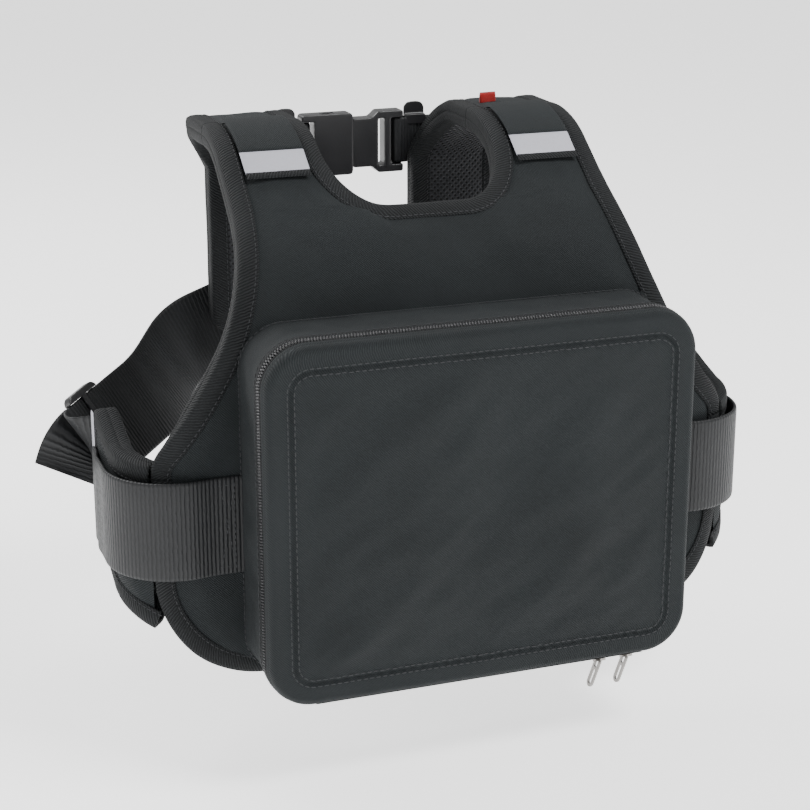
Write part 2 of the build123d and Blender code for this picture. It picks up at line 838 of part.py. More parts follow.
outward = run.cross(up_slide)
if outward.X < 0:
    outward = -outward
tail_top = slide_low.origin + outward * webbing_t
tail_end = tail_top + Vector(*tail_drop)
tail_way = (tail_top - tail_end).normalized()
tail_up = (up_slide - tail_way * tail_way.dot(up_slide)).normalized()
with BuildPart() as webbing_tail:
    with BuildSketch(station(tail_end, tail_way, tail_up)):
        Rectangle(side_w, webbing_t)
    with BuildSketch(station(tail_top, run, up_slide)):
        Rectangle(side_w, webbing_t)
    loft()
both_sides(webbing_tail.part, "webbing_tail")
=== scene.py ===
import json
import math

import bmesh
import bpy
import numpy as np
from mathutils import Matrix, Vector, noise


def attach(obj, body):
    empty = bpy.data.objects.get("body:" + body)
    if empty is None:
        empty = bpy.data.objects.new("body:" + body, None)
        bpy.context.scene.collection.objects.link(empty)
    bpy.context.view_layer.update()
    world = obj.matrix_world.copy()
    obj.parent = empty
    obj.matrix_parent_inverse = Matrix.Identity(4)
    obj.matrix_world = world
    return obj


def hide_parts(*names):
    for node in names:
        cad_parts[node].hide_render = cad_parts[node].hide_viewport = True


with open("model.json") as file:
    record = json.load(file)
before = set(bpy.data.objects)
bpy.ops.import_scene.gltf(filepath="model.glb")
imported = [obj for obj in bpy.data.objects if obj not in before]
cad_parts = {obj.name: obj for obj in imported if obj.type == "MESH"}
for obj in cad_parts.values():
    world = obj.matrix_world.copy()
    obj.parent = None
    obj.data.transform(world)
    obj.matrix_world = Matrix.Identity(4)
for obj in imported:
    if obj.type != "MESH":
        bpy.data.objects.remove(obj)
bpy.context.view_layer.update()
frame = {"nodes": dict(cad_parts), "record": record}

# A padded harness vest.  Every size below is in millimetres; MM turns it into metres.
MM = 0.001

# ------------------------------------------------------------------ form of the vest
PANEL_Y, FAR_Y, HALF, WRAP = -102.0, 54.0, 166.0, 32.0
LEAN_Z, CROWN_Y, PAD = -52.0, -21.0, 9.7
LEAN_R, CROWN_R, FAR_R = 80.0, 60.0, 30.0
PANEL_HALF, PANEL_FOOT, FOOT_R = 152.0, -247.0, 55.0
NECK_HALF, NECK_FOOT, NECK_R = 47.0, -24.0, 27.0
ARM_LOW, ARM_MID, ARM_HIGH = (152.0, -131.0), (115.0, -76.0), (99.0, -22.0)
ARM_TOP = 97.0
STRAP_IN, STRAP_Z, STRAP_FOOT, STRAP_W, STRAP_R = 33.0, -22.0, -112.0, 50.0, 9.0
STRIP_Y = -40.0             # middle of the reflective strip on each shoulder


def rounded_path(corners, radii, step):
    """Points, outward normals and lengths along a polyline with rounded corners."""
    corners = [np.array(c, float) for c in corners]
    points = [corners[0]]
    for before, here, after, r in zip(corners, corners[1:], corners[2:], radii):
        a = (before - here) / np.linalg.norm(before - here)
        b = (after - here) / np.linalg.norm(after - here)
        half = math.acos(np.clip(np.dot(a, b), -1, 1)) / 2
        if half > 1.5698 or r <= 0:
            points.append(here)
            continue
        cut = r / math.tan(half)
        centre = here + (a + b) / np.linalg.norm(a + b) * r / math.sin(half)
        p, q = here + a * cut - centre, here + b * cut - centre
        turn = math.atan2(p[0] * q[1] - p[1] * q[0], np.dot(p, q))
        for share in np.linspace(0, 1, 25):
            c, s = math.cos(turn * share), math.sin(turn * share)
            points.append(centre + np.array([c * p[0] - s * p[1], s * p[0] + c * p[1]]))
    points.append(corners[-1])
    return resample(np.array(points), step)


def resample(points, step):
    """The same line in even steps, with its lengths."""
    gaps = np.linalg.norm(np.diff(points, axis=0), axis=1)
    keep = np.concatenate([[True], gaps > 1e-9])
    points = points[keep]
    lengths = np.concatenate([[0], np.cumsum(np.linalg.norm(np.diff(points, axis=0), axis=1))])
    count = max(2, int(round(lengths[-1] / step)) + 1)
    even = np.linspace(0, lengths[-1], count)
    out = np.stack([np.interp(even, lengths, points[:, k]) for k in range(points.shape[1])], axis=1)
    return out, even


def left_normals(points):
    """Normals on the left of a planar line."""
    way = np.gradient(points, axis=0)
    way /= np.linalg.norm(way, axis=1)[:, None]
    return np.stack([-way[:, 1], way[:, 0]], axis=1)


PROFILE, PROFILE_S = rounded_path(
    [(PANEL_Y, -300), (PANEL_Y, LEAN_Z), (CROWN_Y, PAD), (FAR_Y, PAD), (FAR_Y, -300)],
    [LEAN_R, CROWN_R, FAR_R],
    0.5,
)
PROFILE_N = left_normals(PROFILE)
PLAN, PLAN_A = rounded_path([(0, PANEL_Y), (HALF, PANEL_Y), (HALF, 40)], [WRAP], 0.5)
PLAN_N = -left_normals(PLAN)
CROWN = int(np.argmin(np.abs(PROFILE[:, 0]) + (PROFILE[:, 1] < 5) * 999))
S_TOP = PROFILE_S[CROWN]


def near_s(z):
    """Length along the profile at a height on the near side."""
    return np.interp(z, PROFILE[:CROWN, 1], PROFILE_S[:CROWN])


def far_s(z):
    """Length along the profile at a height on the far side."""
    return np.interp(-np.asarray(z, float), -PROFILE[CROWN:, 1], PROFILE_S[CROWN:])


def near_s_of_y(y):
    """Length along the profile at a y on the near side's lean."""
    return np.interp(y, PROFILE[:, 0][: len(PROFILE) - 300], PROFILE_S[: len(PROFILE) - 300])


def a_of_x(x):
    """Length round the plan at an x in front of the corner's quarter."""
    x = np.asarray(x, float)
    flat = HALF - WRAP
    turn = np.arcsin(np.clip((np.abs(x) - flat) / WRAP, 0, 1))
    return np.sign(x) * np.where(np.abs(x) > flat, flat + WRAP * turn, np.abs(x))


def a_of_y(y):
    """Length round the plan at a y on the corner or the side."""
    flat, quarter = HALF - WRAP, WRAP * math.pi / 2
    edge = PANEL_Y + WRAP
    if y > edge:
        return flat + quarter + y - edge
    return flat + WRAP * math.acos(np.clip((edge - y) / WRAP, -1, 1))


def on_form(a, s, d):
    """Points at lengths a and s, d millimetres in from the outer skin."""
    a, s, d = np.broadcast_arrays(np.asarray(a, float), np.asarray(s, float), np.asarray(d, float))
    py = np.interp(s, PROFILE_S, PROFILE[:, 0]) - d * np.interp(s, PROFILE_S, PROFILE_N[:, 0])
    pz = np.interp(s, PROFILE_S, PROFILE[:, 1]) - d * np.interp(s, PROFILE_S, PROFILE_N[:, 1])
    side = np.abs(a)
    x = np.interp(side, PLAN_A, PLAN[:, 0]) - d * np.interp(side, PLAN_A, PLAN_N[:, 0])
    y = np.interp(side, PLAN_A, PLAN[:, 1]) - d * np.interp(side, PLAN_A, PLAN_N[:, 1])
    return np.stack([np.sign(a) * x, np.maximum(py, y), pz], axis=-1)


def smooth(t):
    """Eased step from 0 to 1."""
    t = np.clip(t, 0, 1)
    return t * t * (3 - 2 * t)


def lumps(points, size, seed=0.0, octaves=2):
    """Soft noise from -1 to 1 at each point, for cloth that isn't quite even."""
    flat = points.reshape(-1, 3) / size + seed
    out = [
        sum(noise.noise(Vector(p) * 2**k) * 0.5**k for k in range(octaves))
        for p in flat
    ]
    return np.array(out).reshape(points.shape[:-1])


# ------------------------------------------------------------------ meshes from grids
def grid(name, points, u, v, material, out_from=None, wrap=False, caps=False):
    """A sheet of quads through a grid of points, with u and v in millimetres as its map."""
    nu, nv = points.shape[:2]
    index = np.arange(nu * nv).reshape(nu, nv)
    cols = nv if wrap else nv - 1
    faces, maps = [], []
    for j in range(cols):
        k = (j + 1) % nv
        for i in range(nu - 1):
            faces.append((index[i, j], index[i + 1, j], index[i + 1, k], index[i, k]))
            u0, u1, v0, v1 = u[i], u[i + 1], v[j], v[j + 1]
            maps.append(((u0, v0), (u1, v0), (u1, v1), (u0, v1)))
    if caps:
        for i, way in ((0, 1), (nu - 1, -1)):
            loop = list(index[i])[::way]
            faces.append(tuple(loop))
            maps.append(tuple((u[i], v[k]) for k in range(nv))[::way])
    return solid(name, points.reshape(-1, 3), faces, maps, material, out_from)


def solid(name, verts, faces, maps, material, out_from=None):
    """A mesh piece with its faces turned outwards."""
    mesh = bpy.data.meshes.new(name)
    places = [tuple(p) for p in np.asarray(verts) * MM]
    mesh.from_pydata(places, [], [tuple(map(int, f)) for f in faces])
    if maps is not None:
        layer = mesh.uv_layers.new(name="cloth")
        flat = [c for m in maps for p in m for c in p]
        layer.data.foreach_set("uv", flat)
    mesh.materials.append(material)
    piece = bpy.data.objects.new(name, mesh)
    bpy.context.collection.objects.link(piece)
    work = bmesh.new()
    work.from_mesh(mesh)
    if out_from is None:
        bmesh.ops.recalc_face_normals(work, faces=work.faces)
    else:
        middle = Vector(out_from[:3]) * MM
        sign = out_from[3] if len(out_from) > 3 else 1
        total = sum(
            (f.calc_center_median() - middle).normalized().dot(f.normal) for f in work.faces
        )
        if total * sign < 0:
            bmesh.ops.reverse_faces(work, faces=work.faces)
    work.to_mesh(mesh)
    work.free()
    mesh.polygons.foreach_set("use_smooth", [True] * len(mesh.polygons))
    return piece


def capsules(name, centres, ways, ups, length, width, height, material):
    """Many small rounded bars, such as stitches and zip teeth, as one mesh."""
    ring = [(0.0, 1.0), (0.8, 0.6), (0.8, -0.6), (0.0, -1.0), (-0.8, -0.6), (-0.8, 0.6)]
    stations = [(-0.5, 0.35), (-0.32, 1.0), (0.32, 1.0), (0.5, 0.35)]
    verts, faces = [], []
    for c, w, n in zip(centres, ways, ups):
        w = w / np.linalg.norm(w)
        n = n - w * np.dot(n, w)
        n = n / np.linalg.norm(n)
        b = np.cross(w, n)
        base = len(verts)
        for along, full in stations:
            for p, q in ring:
                aside, above = b * p * full * width / 2, n * q * full * height / 2
                verts.append(c + w * along * length + aside + above)
        for k in range(3):
            for m in range(6):
                a, e = base + k * 6 + m, base + k * 6 + (m + 1) % 6
                faces.append((a, e, e + 6, a + 6))
        faces.append(tuple(base + m for m in range(6))[::-1])
        faces.append(tuple(base + 18 + m for m in range(6)))
    return solid(name, verts, faces, None, material)


def stitch_line(line, ups, pitch):
    """Centres, directions and normals of stitches along a line."""
    even, lengths = resample(line, pitch)
    full = np.concatenate([[0], np.cumsum(np.linalg.norm(np.diff(line, axis=0), axis=1))])
    up = np.stack([np.interp(lengths, full, ups[:, k]) for k in range(3)], axis=1)
    way = np.gradient(even, axis=0)
    return even, way, up


# ---------------------------------------------------------------------- materials
class Nodes:
    """A short way to wire a material."""

    def __init__(self, tree):
        self.tree = tree

    def add(self, kind, inputs=None, **settings):
        node = self.tree.nodes.new("ShaderNode" + kind)
        for key, value in settings.items():
            setattr(node, key, value)
        for key, value in (inputs or {}).items():
            socket = node.inputs[key]
            if isinstance(value, bpy.types.NodeSocket):
                self.tree.links.new(value, socket)
            else:
                socket.default_value = value
        return node

    def math(self, kind, a, b=0.0):
        return self.add("Math", {0: a, 1: b}, operation=kind).outputs[0]

    def mix(self, factor, a, b):
        node = self.add("Mix", data_type="RGBA")
        for socket, value in ((node.inputs[0], factor), (node.inputs[6], a), (node.inputs[7], b)):
            if isinstance(value, bpy.types.NodeSocket):
                self.tree.links.new(value, socket)
            else:
                socket.default_value = value
        return node.outputs[2]


def weave_group():
    """Height of a woven cloth from its map: ribs along one slope, crossed by finer ones."""
    group = bpy.data.node_groups.new("weave", "ShaderNodeTree")
    face = group.interface
    for name, value in (("Pitch U", 1.0), ("Pitch V", 1.0), ("Cross", 0.3)):
        socket = face.new_socket(name, in_out="INPUT", socket_type="NodeSocketFloat")
        socket.default_value = value
    face.new_socket("Map", in_out="INPUT", socket_type="NodeSocketVector")
    face.new_socket("Height", in_out="OUTPUT", socket_type="NodeSocketFloat")
    n = Nodes(group)
    given = group.nodes.new("NodeGroupInput")
    out = group.nodes.new("NodeGroupOutput")
    parts = n.add("SeparateXYZ", {0: given.outputs["Map"]}).outputs
    wobble = n.add("TexNoise", {"Vector": given.outputs["Map"], "Scale": 0.35, "Detail": 2.0})
    push = n.math("MULTIPLY", n.math("SUBTRACT", wobble.outputs["Fac"], 0.5), 1.2)
    u = n.math("ADD", parts[0], push)
    along = n.math("DIVIDE", u, given.outputs["Pitch U"])
    across = n.math("DIVIDE", parts[1], given.outputs["Pitch V"])
    main = n.math("SINE", n.math("MULTIPLY", n.math("ADD", along, across), 2 * math.pi))
    fine = n.math("SINE", n.math("MULTIPLY", n.math("SUBTRACT", along, across), 4 * math.pi))
    total = n.math("ADD", main, n.math("MULTIPLY", fine, given.outputs["Cross"]))
    group.links.new(total, out.inputs[0])
    return group


WEAVE = weave_group()


def cloth(
    name, dark, light, pitch, bump,
    rough=0.75, sheen=0.25, cross=0.4, patch=14.0, coat=0.0, specular=0.22,
):
    """Woven cloth: pitch is (along, across) in millimetres, huge for straight ribs."""
    material = bpy.data.materials.new(name)
    material.use_nodes = True
    tree = material.node_tree
    n = Nodes(tree)
    shader = tree.nodes["Principled BSDF"]
    where = n.add("UVMap", uv_map="cloth").outputs[0]
    place = n.add("TexCoord").outputs["Object"]
    weave = n.add("Group", node_tree=WEAVE)
    tree.links.new(where, weave.inputs["Map"])
    weave.inputs["Pitch U"].default_value = pitch[0]
    weave.inputs["Pitch V"].default_value = pitch[1]
    weave.inputs["Cross"].default_value = cross
    height = weave.outputs[0]
    tone = n.add("TexNoise", {"Vector": place, "Scale": patch, "Detail": 4.0}).outputs["Fac"]
    speck = n.add("TexNoise", {"Vector": place, "Scale": 900.0, "Detail": 2.0}).outputs["Fac"]
    ribs = n.math("MULTIPLY_ADD", height, 0.5)
    ribs.node.inputs[2].default_value = 0.5
    blend = n.math("MULTIPLY", n.math("ADD", tone, n.math("MULTIPLY", ribs, 0.9)), 0.55)
    blend = n.math("MULTIPLY", blend, n.math("ADD", n.math("MULTIPLY", speck, 0.9), 0.55))
    colour = n.mix(blend, (*dark, 1), (*light, 1))
    tree.links.new(colour, shader.inputs["Base Color"])
    gloss = n.math("SUBTRACT", rough + 0.08, n.math("MULTIPLY", ribs, 0.16))
    tree.links.new(gloss, shader.inputs["Roughness"])
    shader.inputs["Sheen Weight"].default_value = sheen
    shader.inputs["Sheen Roughness"].default_value = 0.45
    shader.inputs["Coat Weight"].default_value = coat
    shader.inputs["Coat Roughness"].default_value = 0.5
    soft = n.add("TexNoise", {"Vector": place, "Scale": 260.0, "Detail": 3.0}).outputs["Fac"]
    lift = n.math("ADD", height, n.math("MULTIPLY", soft, 1.2))
    relief = n.add("Bump", {"Height": lift, "Distance": bump * MM, "Strength": 0.9})
    tree.links.new(relief.outputs[0], shader.inputs["Normal"])
    shader.inputs["Specular IOR Level"].default_value = specular
    return material


def hard(name, colour, rough, metal=0.0, grain=900.0, wear=0.15, coat=0.0):
    """Moulded plastic or plated metal with a fine grain and rubbed patches."""
    material = bpy.data.materials.new(name)
    material.use_nodes = True
    tree = material.node_tree
    n = Nodes(tree)
    shader = tree.nodes["Principled BSDF"]
    place = n.add("TexCoord").outputs["Object"]
    patches = n.add("TexNoise", {"Vector": place, "Scale": 70.0, "Detail": 5.0}).outputs["Fac"]
    fine = n.add("TexNoise", {"Vector": place, "Scale": grain, "Detail": 2.0}).outputs["Fac"]
    lighter = tuple(min(1.0, c * 1.7 + 0.004) for c in colour)
    tree.links.new(n.mix(patches, (*colour, 1), (*lighter, 1)), shader.inputs["Base Color"])
    tree.links.new(
        n.math("ADD", rough - wear / 2, n.math("MULTIPLY", patches, wear)),
        shader.inputs["Roughness"],
    )
    shader.inputs["Metallic"].default_value = metal
    shader.inputs["Coat Weight"].default_value = coat
    shader.inputs["Coat Roughness"].default_value = 0.3
    relief = n.add("Bump", {"Height": fine, "Distance": 0.08 * MM, "Strength": 0.6})
    tree.links.new(relief.outputs[0], shader.inputs["Normal"])
    return material


def spacer_mesh(name):
    """Open three-dimensional mesh: rows of small diamond holes, with painted shade inside them."""
    hole_pitch = 3.4
    dark, light = (0.006, 0.006, 0.007), (0.035, 0.036, 0.039)
    material = cloth(name, dark, light, (hole_pitch, hole_pitch), 0.3, sheen=0.15)
    tree = material.node_tree
    n = Nodes(tree)
    shader = tree.nodes["Principled BSDF"]
    parts = n.add("SeparateXYZ", {0: n.add("UVMap", uv_map="cloth").outputs[0]}).outputs
    per_mm = 2 * math.pi / hole_pitch
    a = n.math("SINE", n.math("MULTIPLY", n.math("ADD", parts[0], parts[1]), per_mm))
    b = n.math("SINE", n.math("MULTIPLY", n.math("SUBTRACT", parts[0], parts[1]), per_mm))
    hole = n.math("MULTIPLY", n.math("ADD", a, 1.0), n.math("ADD", b, 1.0))
    # The holes get a near-black colour: painted shade inside each hole, on top of the sunken bump.
    shaded_hole = n.math("GREATER_THAN", hole, 1.9)
    colour = n.mix(shaded_hole, (0.026, 0.027, 0.03, 1), (0.002, 0.002, 0.002, 1))
    tree.links.new(colour, shader.inputs["Base Color"])
    sunk = n.math("MULTIPLY", hole, -0.25)
    relief = n.add("Bump", {"Height": sunk, "Distance": 0.7 * MM, "Strength": 1.0})
    tree.links.new(relief.outputs[0], shader.inputs["Normal"])
    return material


NYLON = cloth(
    "nylon", (0.0045, 0.0056, 0.0061), (0.020, 0.0245, 0.0265), (1.25, 1.25), 0.10, sheen=0.025
)
TAPE = cloth(
    "twill_tape", (0.0035, 0.0038, 0.0041), (0.017, 0.019, 0.0205), (1.6, 2.6), 0.22,
    sheen=0.02, cross=0.12,
)
WEB = cloth(
    "ribbed_webbing", (0.0035, 0.0038, 0.0042), (0.015, 0.0162, 0.018), (2.1, 1e5), 0.12,
    rough=0.55, sheen=0.02, cross=0.25, coat=0.04, specular=0.35,
)
THREAD = hard("thread", (0.016, 0.017, 0.019), 0.7, grain=2500.0)
LINING = spacer_mesh("spacer_mesh")
SILVER = cloth(
    "reflective", (0.36, 0.36, 0.41), (0.50, 0.50, 0.55), (0.7, 0.7), 0.02,
    rough=0.38, sheen=0.1, specular=0.5,
)
RED = cloth("red_tab", (0.20, 0.006, 0.006), (0.42, 0.015, 0.012), (0.6, 0.6), 0.05)
PLASTIC = hard("moulded_plastic", (0.008, 0.008, 0.009), 0.36, coat=0.15)
COIL = hard("zip_coil", (0.014, 0.014, 0.016), 0.3, coat=0.3)
NICKEL = hard("dull_nickel", (0.24, 0.23, 0.22), 0.36, metal=1.0, wear=0.25)
TORSO = (0, -20, -130)      # a point inside the wearer, to tell which way is out


# --------------------------------------------------------------------- back panel
def circle_through(p, q, r):
    """Centre and radius of the circle through three points."""
    ax, ay, bx, by, cx, cy = *p, *q, *r
    d = 2 * (ax * (by - cy) + bx * (cy - ay) + cx * (ay - by))
    a2, b2, c2 = ax**2 + ay**2, bx**2 + by**2, cx**2 + cy**2
    x = (a2 * (by - cy) + b2 * (cy - ay) + c2 * (ay - by)) / d
    y = (a2 * (cx - bx) + b2 * (ax - cx) + c2 * (bx - ax)) / d
    return np.array([x, y]), math.hypot(ax - x, ay - y)


def armhole_line():
    """The armhole's edge in x and z, from the side up to the crown."""
    centre, r = circle_through(ARM_LOW, ARM_MID, ARM_HIGH)
    first = math.atan2(ARM_LOW[1] - centre[1], ARM_LOW[0] - centre[0]) % (2 * math.pi)
    last = math.atan2(ARM_HIGH[1] - centre[1], ARM_HIGH[0] - centre[0]) % (2 * math.pi)
    turn = np.linspace(first, last, 60)
    arc = centre + r * np.stack([np.cos(turn), np.sin(turn)], axis=1)
    low = np.array([[PANEL_HALF, z] for z in np.linspace(-170, -138, 12)])
    soft = np.array([(151.6, -134.0), (149.6, -129.5)])
    line = np.concatenate([low, soft, arc[6:]])
    return line


def to_form(line):
    """x and z on the near side, as lengths round and along the form."""
    return np.stack([a_of_x(line[:, 0]), near_s(line[:, 1])], axis=1)


arm_xz = armhole_line()
s_arm_end = near_s(ARM_HIGH[1])
arm_as = np.concatenate([
    to_form(arm_xz[arm_xz[:, 1] > -141.0]),
    np.array([[np.interp(s, [s_arm_end, S_TOP], [ARM_HIGH[0], ARM_TOP]), s]
              for s in np.linspace(s_arm_end + 1, S_TOP, 30)]),
])


def half_width(s):
    """Half the panel's width, as a length round the plan, at a length along the profile."""
    z = np.interp(s, PROFILE_S, PROFILE[:, 1])
    if z < PANEL_FOOT + FOOT_R:
        drop = PANEL_FOOT + FOOT_R - z
        return float(a_of_x(PANEL_HALF - FOOT_R + math.sqrt(max(FOOT_R**2 - drop**2, 0))))
    if s <= arm_as[0, 1]:
        return float(a_of_x(PANEL_HALF))
    return float(np.interp(s, arm_as[:, 1], arm_as[:, 0]))


def neck_width(s):
    """Half the neck opening's width at a length along the profile."""
    z = float(np.interp(s, PROFILE_S, PROFILE[:, 1])) if s < S_TOP else PAD
    if z <= NECK_FOOT:
        return 0.0
    rise = min(z - NECK_FOOT, NECK_R)
    return NECK_HALF - NECK_R + math.sqrt(NECK_R**2 - (NECK_R - rise) ** 2)


def panel_sheet(name, depth, material, out, swell):
    """The cloth or mesh face of the back panel, right over both shoulders."""
    s_low = near_s(PANEL_FOOT + 3)
    rows = np.concatenate([
        np.linspace(s_low, near_s(NECK_FOOT - 1), 105),
        np.linspace(near_s(NECK_FOOT + 1), S_TOP, 30),
    ])
    across = np.linspace(0, 1, 70)
    halves = []
    for side in (-1, 1):
        points = np.zeros((len(rows), len(across), 3))
        sheet_u = np.zeros((len(rows), len(across)))
        for i, s in enumerate(rows):
            outer, inner = half_width(s) - 3, neck_width(s)
            inner += 3 if inner > 0 else 0
            a = inner + (outer - inner) * across
            edge = np.minimum(outer - a, (a - inner) if inner > 0 else 99)
            if s < near_s(NECK_FOOT):
                below = near_s(NECK_FOOT) - s
                edge = np.minimum(edge, below + np.abs(np.maximum(a - 22, 0)))
            full = smooth((edge - 4) / 16)
            base = on_form(side * a, s, depth)
            soft = lumps(base, 46.0, 3.1) * 1.6 + lumps(base, 17.0, 8.2) * 0.5
            lift = swell * full * (1.3 + soft)
            points[i] = on_form(side * a, s, depth - lift)
            sheet_u[i] = side * a
        halves.append((side, points, sheet_u))
    verts, faces, maps = [], [], []
    n_r, n_a = len(rows), len(across)
    for side, points, sheet_u in halves:
        base = len(verts)
        verts.extend(points.reshape(-1, 3))
        for i in range(n_r - 1):
            for j in range(n_a - 1):
                quad = [(i, j), (i, j + 1), (i + 1, j + 1), (i + 1, j)]
                if side < 0:
                    quad = quad[::-1]
                faces.append([base + r * n_a + c for r, c in quad])
                maps.append([(sheet_u[r, c], rows[r]) for r, c in quad])
    piece = solid(name, verts, faces, maps, material, (*TORSO, out))
    weld(piece)
    return piece


def weld(piece):
    """Joins points that lie together."""
    work = bmesh.new()
    work.from_mesh(piece.data)
    bmesh.ops.remove_doubles(work, verts=work.verts, dist=0.02 * MM)
    work.to_mesh(piece.data)
    work.free()


def path_length(path):
    """Length of a line."""
    return float(np.linalg.norm(np.diff(path, axis=0), axis=1).sum())


def place(piece, body, nodes=(), slot=None, pad=None, flat=None):
    """Sets what a finished piece rides on and stands for."""
    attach(piece, body)
    if nodes:
        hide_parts(*nodes)
    return piece


cover = panel_sheet("panel_cover", 0.0, NYLON, 1, 1.0)
place(cover, "vest", ["panel_shell", "panel_foam"], "cordura", pad=0.6)
inside = panel_sheet("panel_mesh", PAD, LINING, -1, -0.6)
place(inside, "vest", ["panel_lining"], "air_mesh")

# ------------------------------------------------------------------- binding tape
SECTION = [
    (9.4, -0.1), (9.35, -0.8), (8.6, -0.95), (8.0, -0.8), (7.2, -1.15), (4.0, -1.35),
    (1.2, -1.15), (-0.3, -0.5), (-0.8, 0.9), (-1.0, 3.0), (-0.9, 4.6), (-0.55, 4.85),
    (-0.9, 5.1), (-1.0, 6.8), (-0.8, 8.8),
    (-0.3, 10.2), (1.2, 10.9), (4.0, 11.1), (7.2, 10.9), (8.0, 10.5), (8.6, 10.65),
    (9.35, 10.5), (9.4, 9.8), (6.0, 9.3), (1.5, 8.5), (1.5, 1.2), (6.0, 0.4),
]


def tape(name, line, inward, seed=0.0):
    """Binding folded round an edge: line is in lengths on the form, inward its side."""
    even, lengths = resample(np.asarray(line, float), 1.6)
    normal = left_normals(even) * inward
    section = np.array(SECTION)
    sides = np.diff(np.vstack([section, section[:1]]), axis=0)
    v = np.concatenate([[0], np.cumsum(np.linalg.norm(sides, axis=1))])
    points = np.zeros((len(even), len(section), 3))
    for k, (q, d) in enumerate(section):
        at = even + normal * q
        points[:, k] = on_form(at[:, 0], at[:, 1], d)
    wave = lumps(points[:, 4:5], 24.0, seed)
    middle = points.mean(axis=1, keepdims=True)
    points = middle + (points - middle) * (1 + 0.035 * wave[..., None])
    piece = grid(name, points, lengths, v, TAPE, wrap=True, caps=True)
    lines = []
    for q, d, away in ((7.9, -1.05, -3.0), (7.9, 10.75, 13.0)):
        at = even + normal * q
        face = on_form(at[:, 0], at[:, 1], d)
        up = on_form(at[:, 0], at[:, 1], away) - face
        lines.append(stitch_line(face, up, 3.0))
    centres, ways, ups = (np.concatenate(x) for x in zip(*lines))
    thread = capsules(name + "_stitches", centres, ways, ups, 2.1, 0.55, 0.45, THREAD)
    return piece, thread


def bind(name, line, inward, node, body="vest"):
    """Tape and its stitches along one edge, standing for a node."""
    piece, thread = tape(name, line, inward, seed=float(len(name)))
    place(piece, body, [node], "binding")
    place(thread, body, (), "binding")


for side, word in ((-1, "left"), (1, "right")):
    line = arm_as * np.array([side, 1])
    bind(f"armhole_tape_{word}", line, 1 if side > 0 else -1, f"armhole_binding_{word}")

turn = np.linspace(0, math.pi / 2, 30)
foot = np.stack([
    PANEL_HALF - FOOT_R + FOOT_R * np.cos(turn),
    PANEL_FOOT + FOOT_R - FOOT_R * np.sin(turn),
], axis=1)
right_half = np.concatenate([[[PANEL_HALF, -141.0]], foot, [[60, PANEL_FOOT], [0.5, PANEL_FOOT]]])
right_half = resample(right_half, 2.0)[0]
hem = np.concatenate([to_form(right_half), (to_form(right_half) * [-1, 1])[::-1]])
bind("hem_tape", hem, -1, "hem_binding")

turn = np.linspace(0, math.pi / 2, 20)
neck_half = np.concatenate([
    [[0.5, NECK_FOOT]],
    np.stack([
        NECK_HALF - NECK_R + NECK_R * np.sin(turn),
        NECK_FOOT + NECK_R - NECK_R * np.cos(turn),
    ], axis=1),
])
neck_half = resample(neck_half, 1.5)[0]
neck_rise = np.linspace(near_s(NECK_FOOT + NECK_R) + 1, S_TOP, 24)
neck_as = np.concatenate([to_form(neck_half), [[NECK_HALF, s] for s in neck_rise]])
neck = np.concatenate([(neck_as * [-1, 1])[::-1], neck_as])
bind("neck_tape", neck, -1, "neck_binding")


# -------------------------------------------------------------------- strap, far side
def strap_edges(s):
    """The strap's inner and outer edge at a length along the profile."""
    z = float(np.interp(s, PROFILE_S, PROFILE[:, 1]))
    y = float(np.interp(s, PROFILE_S, PROFILE[:, 0]))
    share = np.clip((PAD - 2 - z) / (PAD - 2 - STRAP_Z), 0, 1) if y > 10 else 0.0
    inner = NECK_HALF + (STRAP_IN - NECK_HALF) * share
    return inner, inner + STRAP_W


for side, word in ((-1, "left"), (1, "right")):
    rows = np.linspace(S_TOP, far_s(STRAP_FOOT + 4), 75)
    share = np.linspace(0, 1, 22)
    for name, depth, material, out, swell, nodes, slot in (
        ("strap_cover", 0.0, NYLON, 1, 1.0, [f"shoulder_strap_{word}"], "cordura"),
        ("strap_mesh", PAD, LINING, -1, -1.6, [f"strap_lining_{word}"], "air_mesh"),
    ):
        points = np.zeros((len(rows), len(share), 3))
        for i, s in enumerate(rows):
            low, high = strap_edges(s)
            a = low + 4 + (high - low - 8) * share
            edge = np.minimum(a - low - 4, high - 4 - a)
            base = on_form(side * a, s, depth)
            lift = swell * smooth(edge / 12) * (1.2 + lumps(base, 30.0, 1.7))
            points[i] = on_form(side * a, s, depth - lift)
        middle = (side * 60, 0, -40, out)
        piece = grid(f"{name}_{word}", points, rows, 4 + share * 42, material, middle)
        place(piece, "vest", nodes, slot, pad=0.6 if slot == "cordura" else None)
    fall = np.linspace(S_TOP, far_s(STRAP_FOOT + STRAP_R), 60)
    inner = np.array([[strap_edges(s)[0], s] for s in fall])
    outer = np.array([[strap_edges(s)[1], s] for s in fall])
    s_end = far_s(STRAP_FOOT)
    turn = np.linspace(0.1, math.pi / 2 - 0.1, 7)
    swing, drop = STRAP_R - STRAP_R * np.cos(turn), s_end - STRAP_R + STRAP_R * np.sin(turn)
    left_turn = np.stack([STRAP_IN + swing, drop], axis=1)
    right_turn = np.stack([STRAP_IN + STRAP_W - swing, drop], axis=1)[::-1]
    loop = np.concatenate([inner, left_turn, right_turn, outer[::-1]]) * np.array([side, 1])
    bind(f"strap_tape_{word}", loop, -1 if side > 0 else 1, f"strap_binding_{word}")


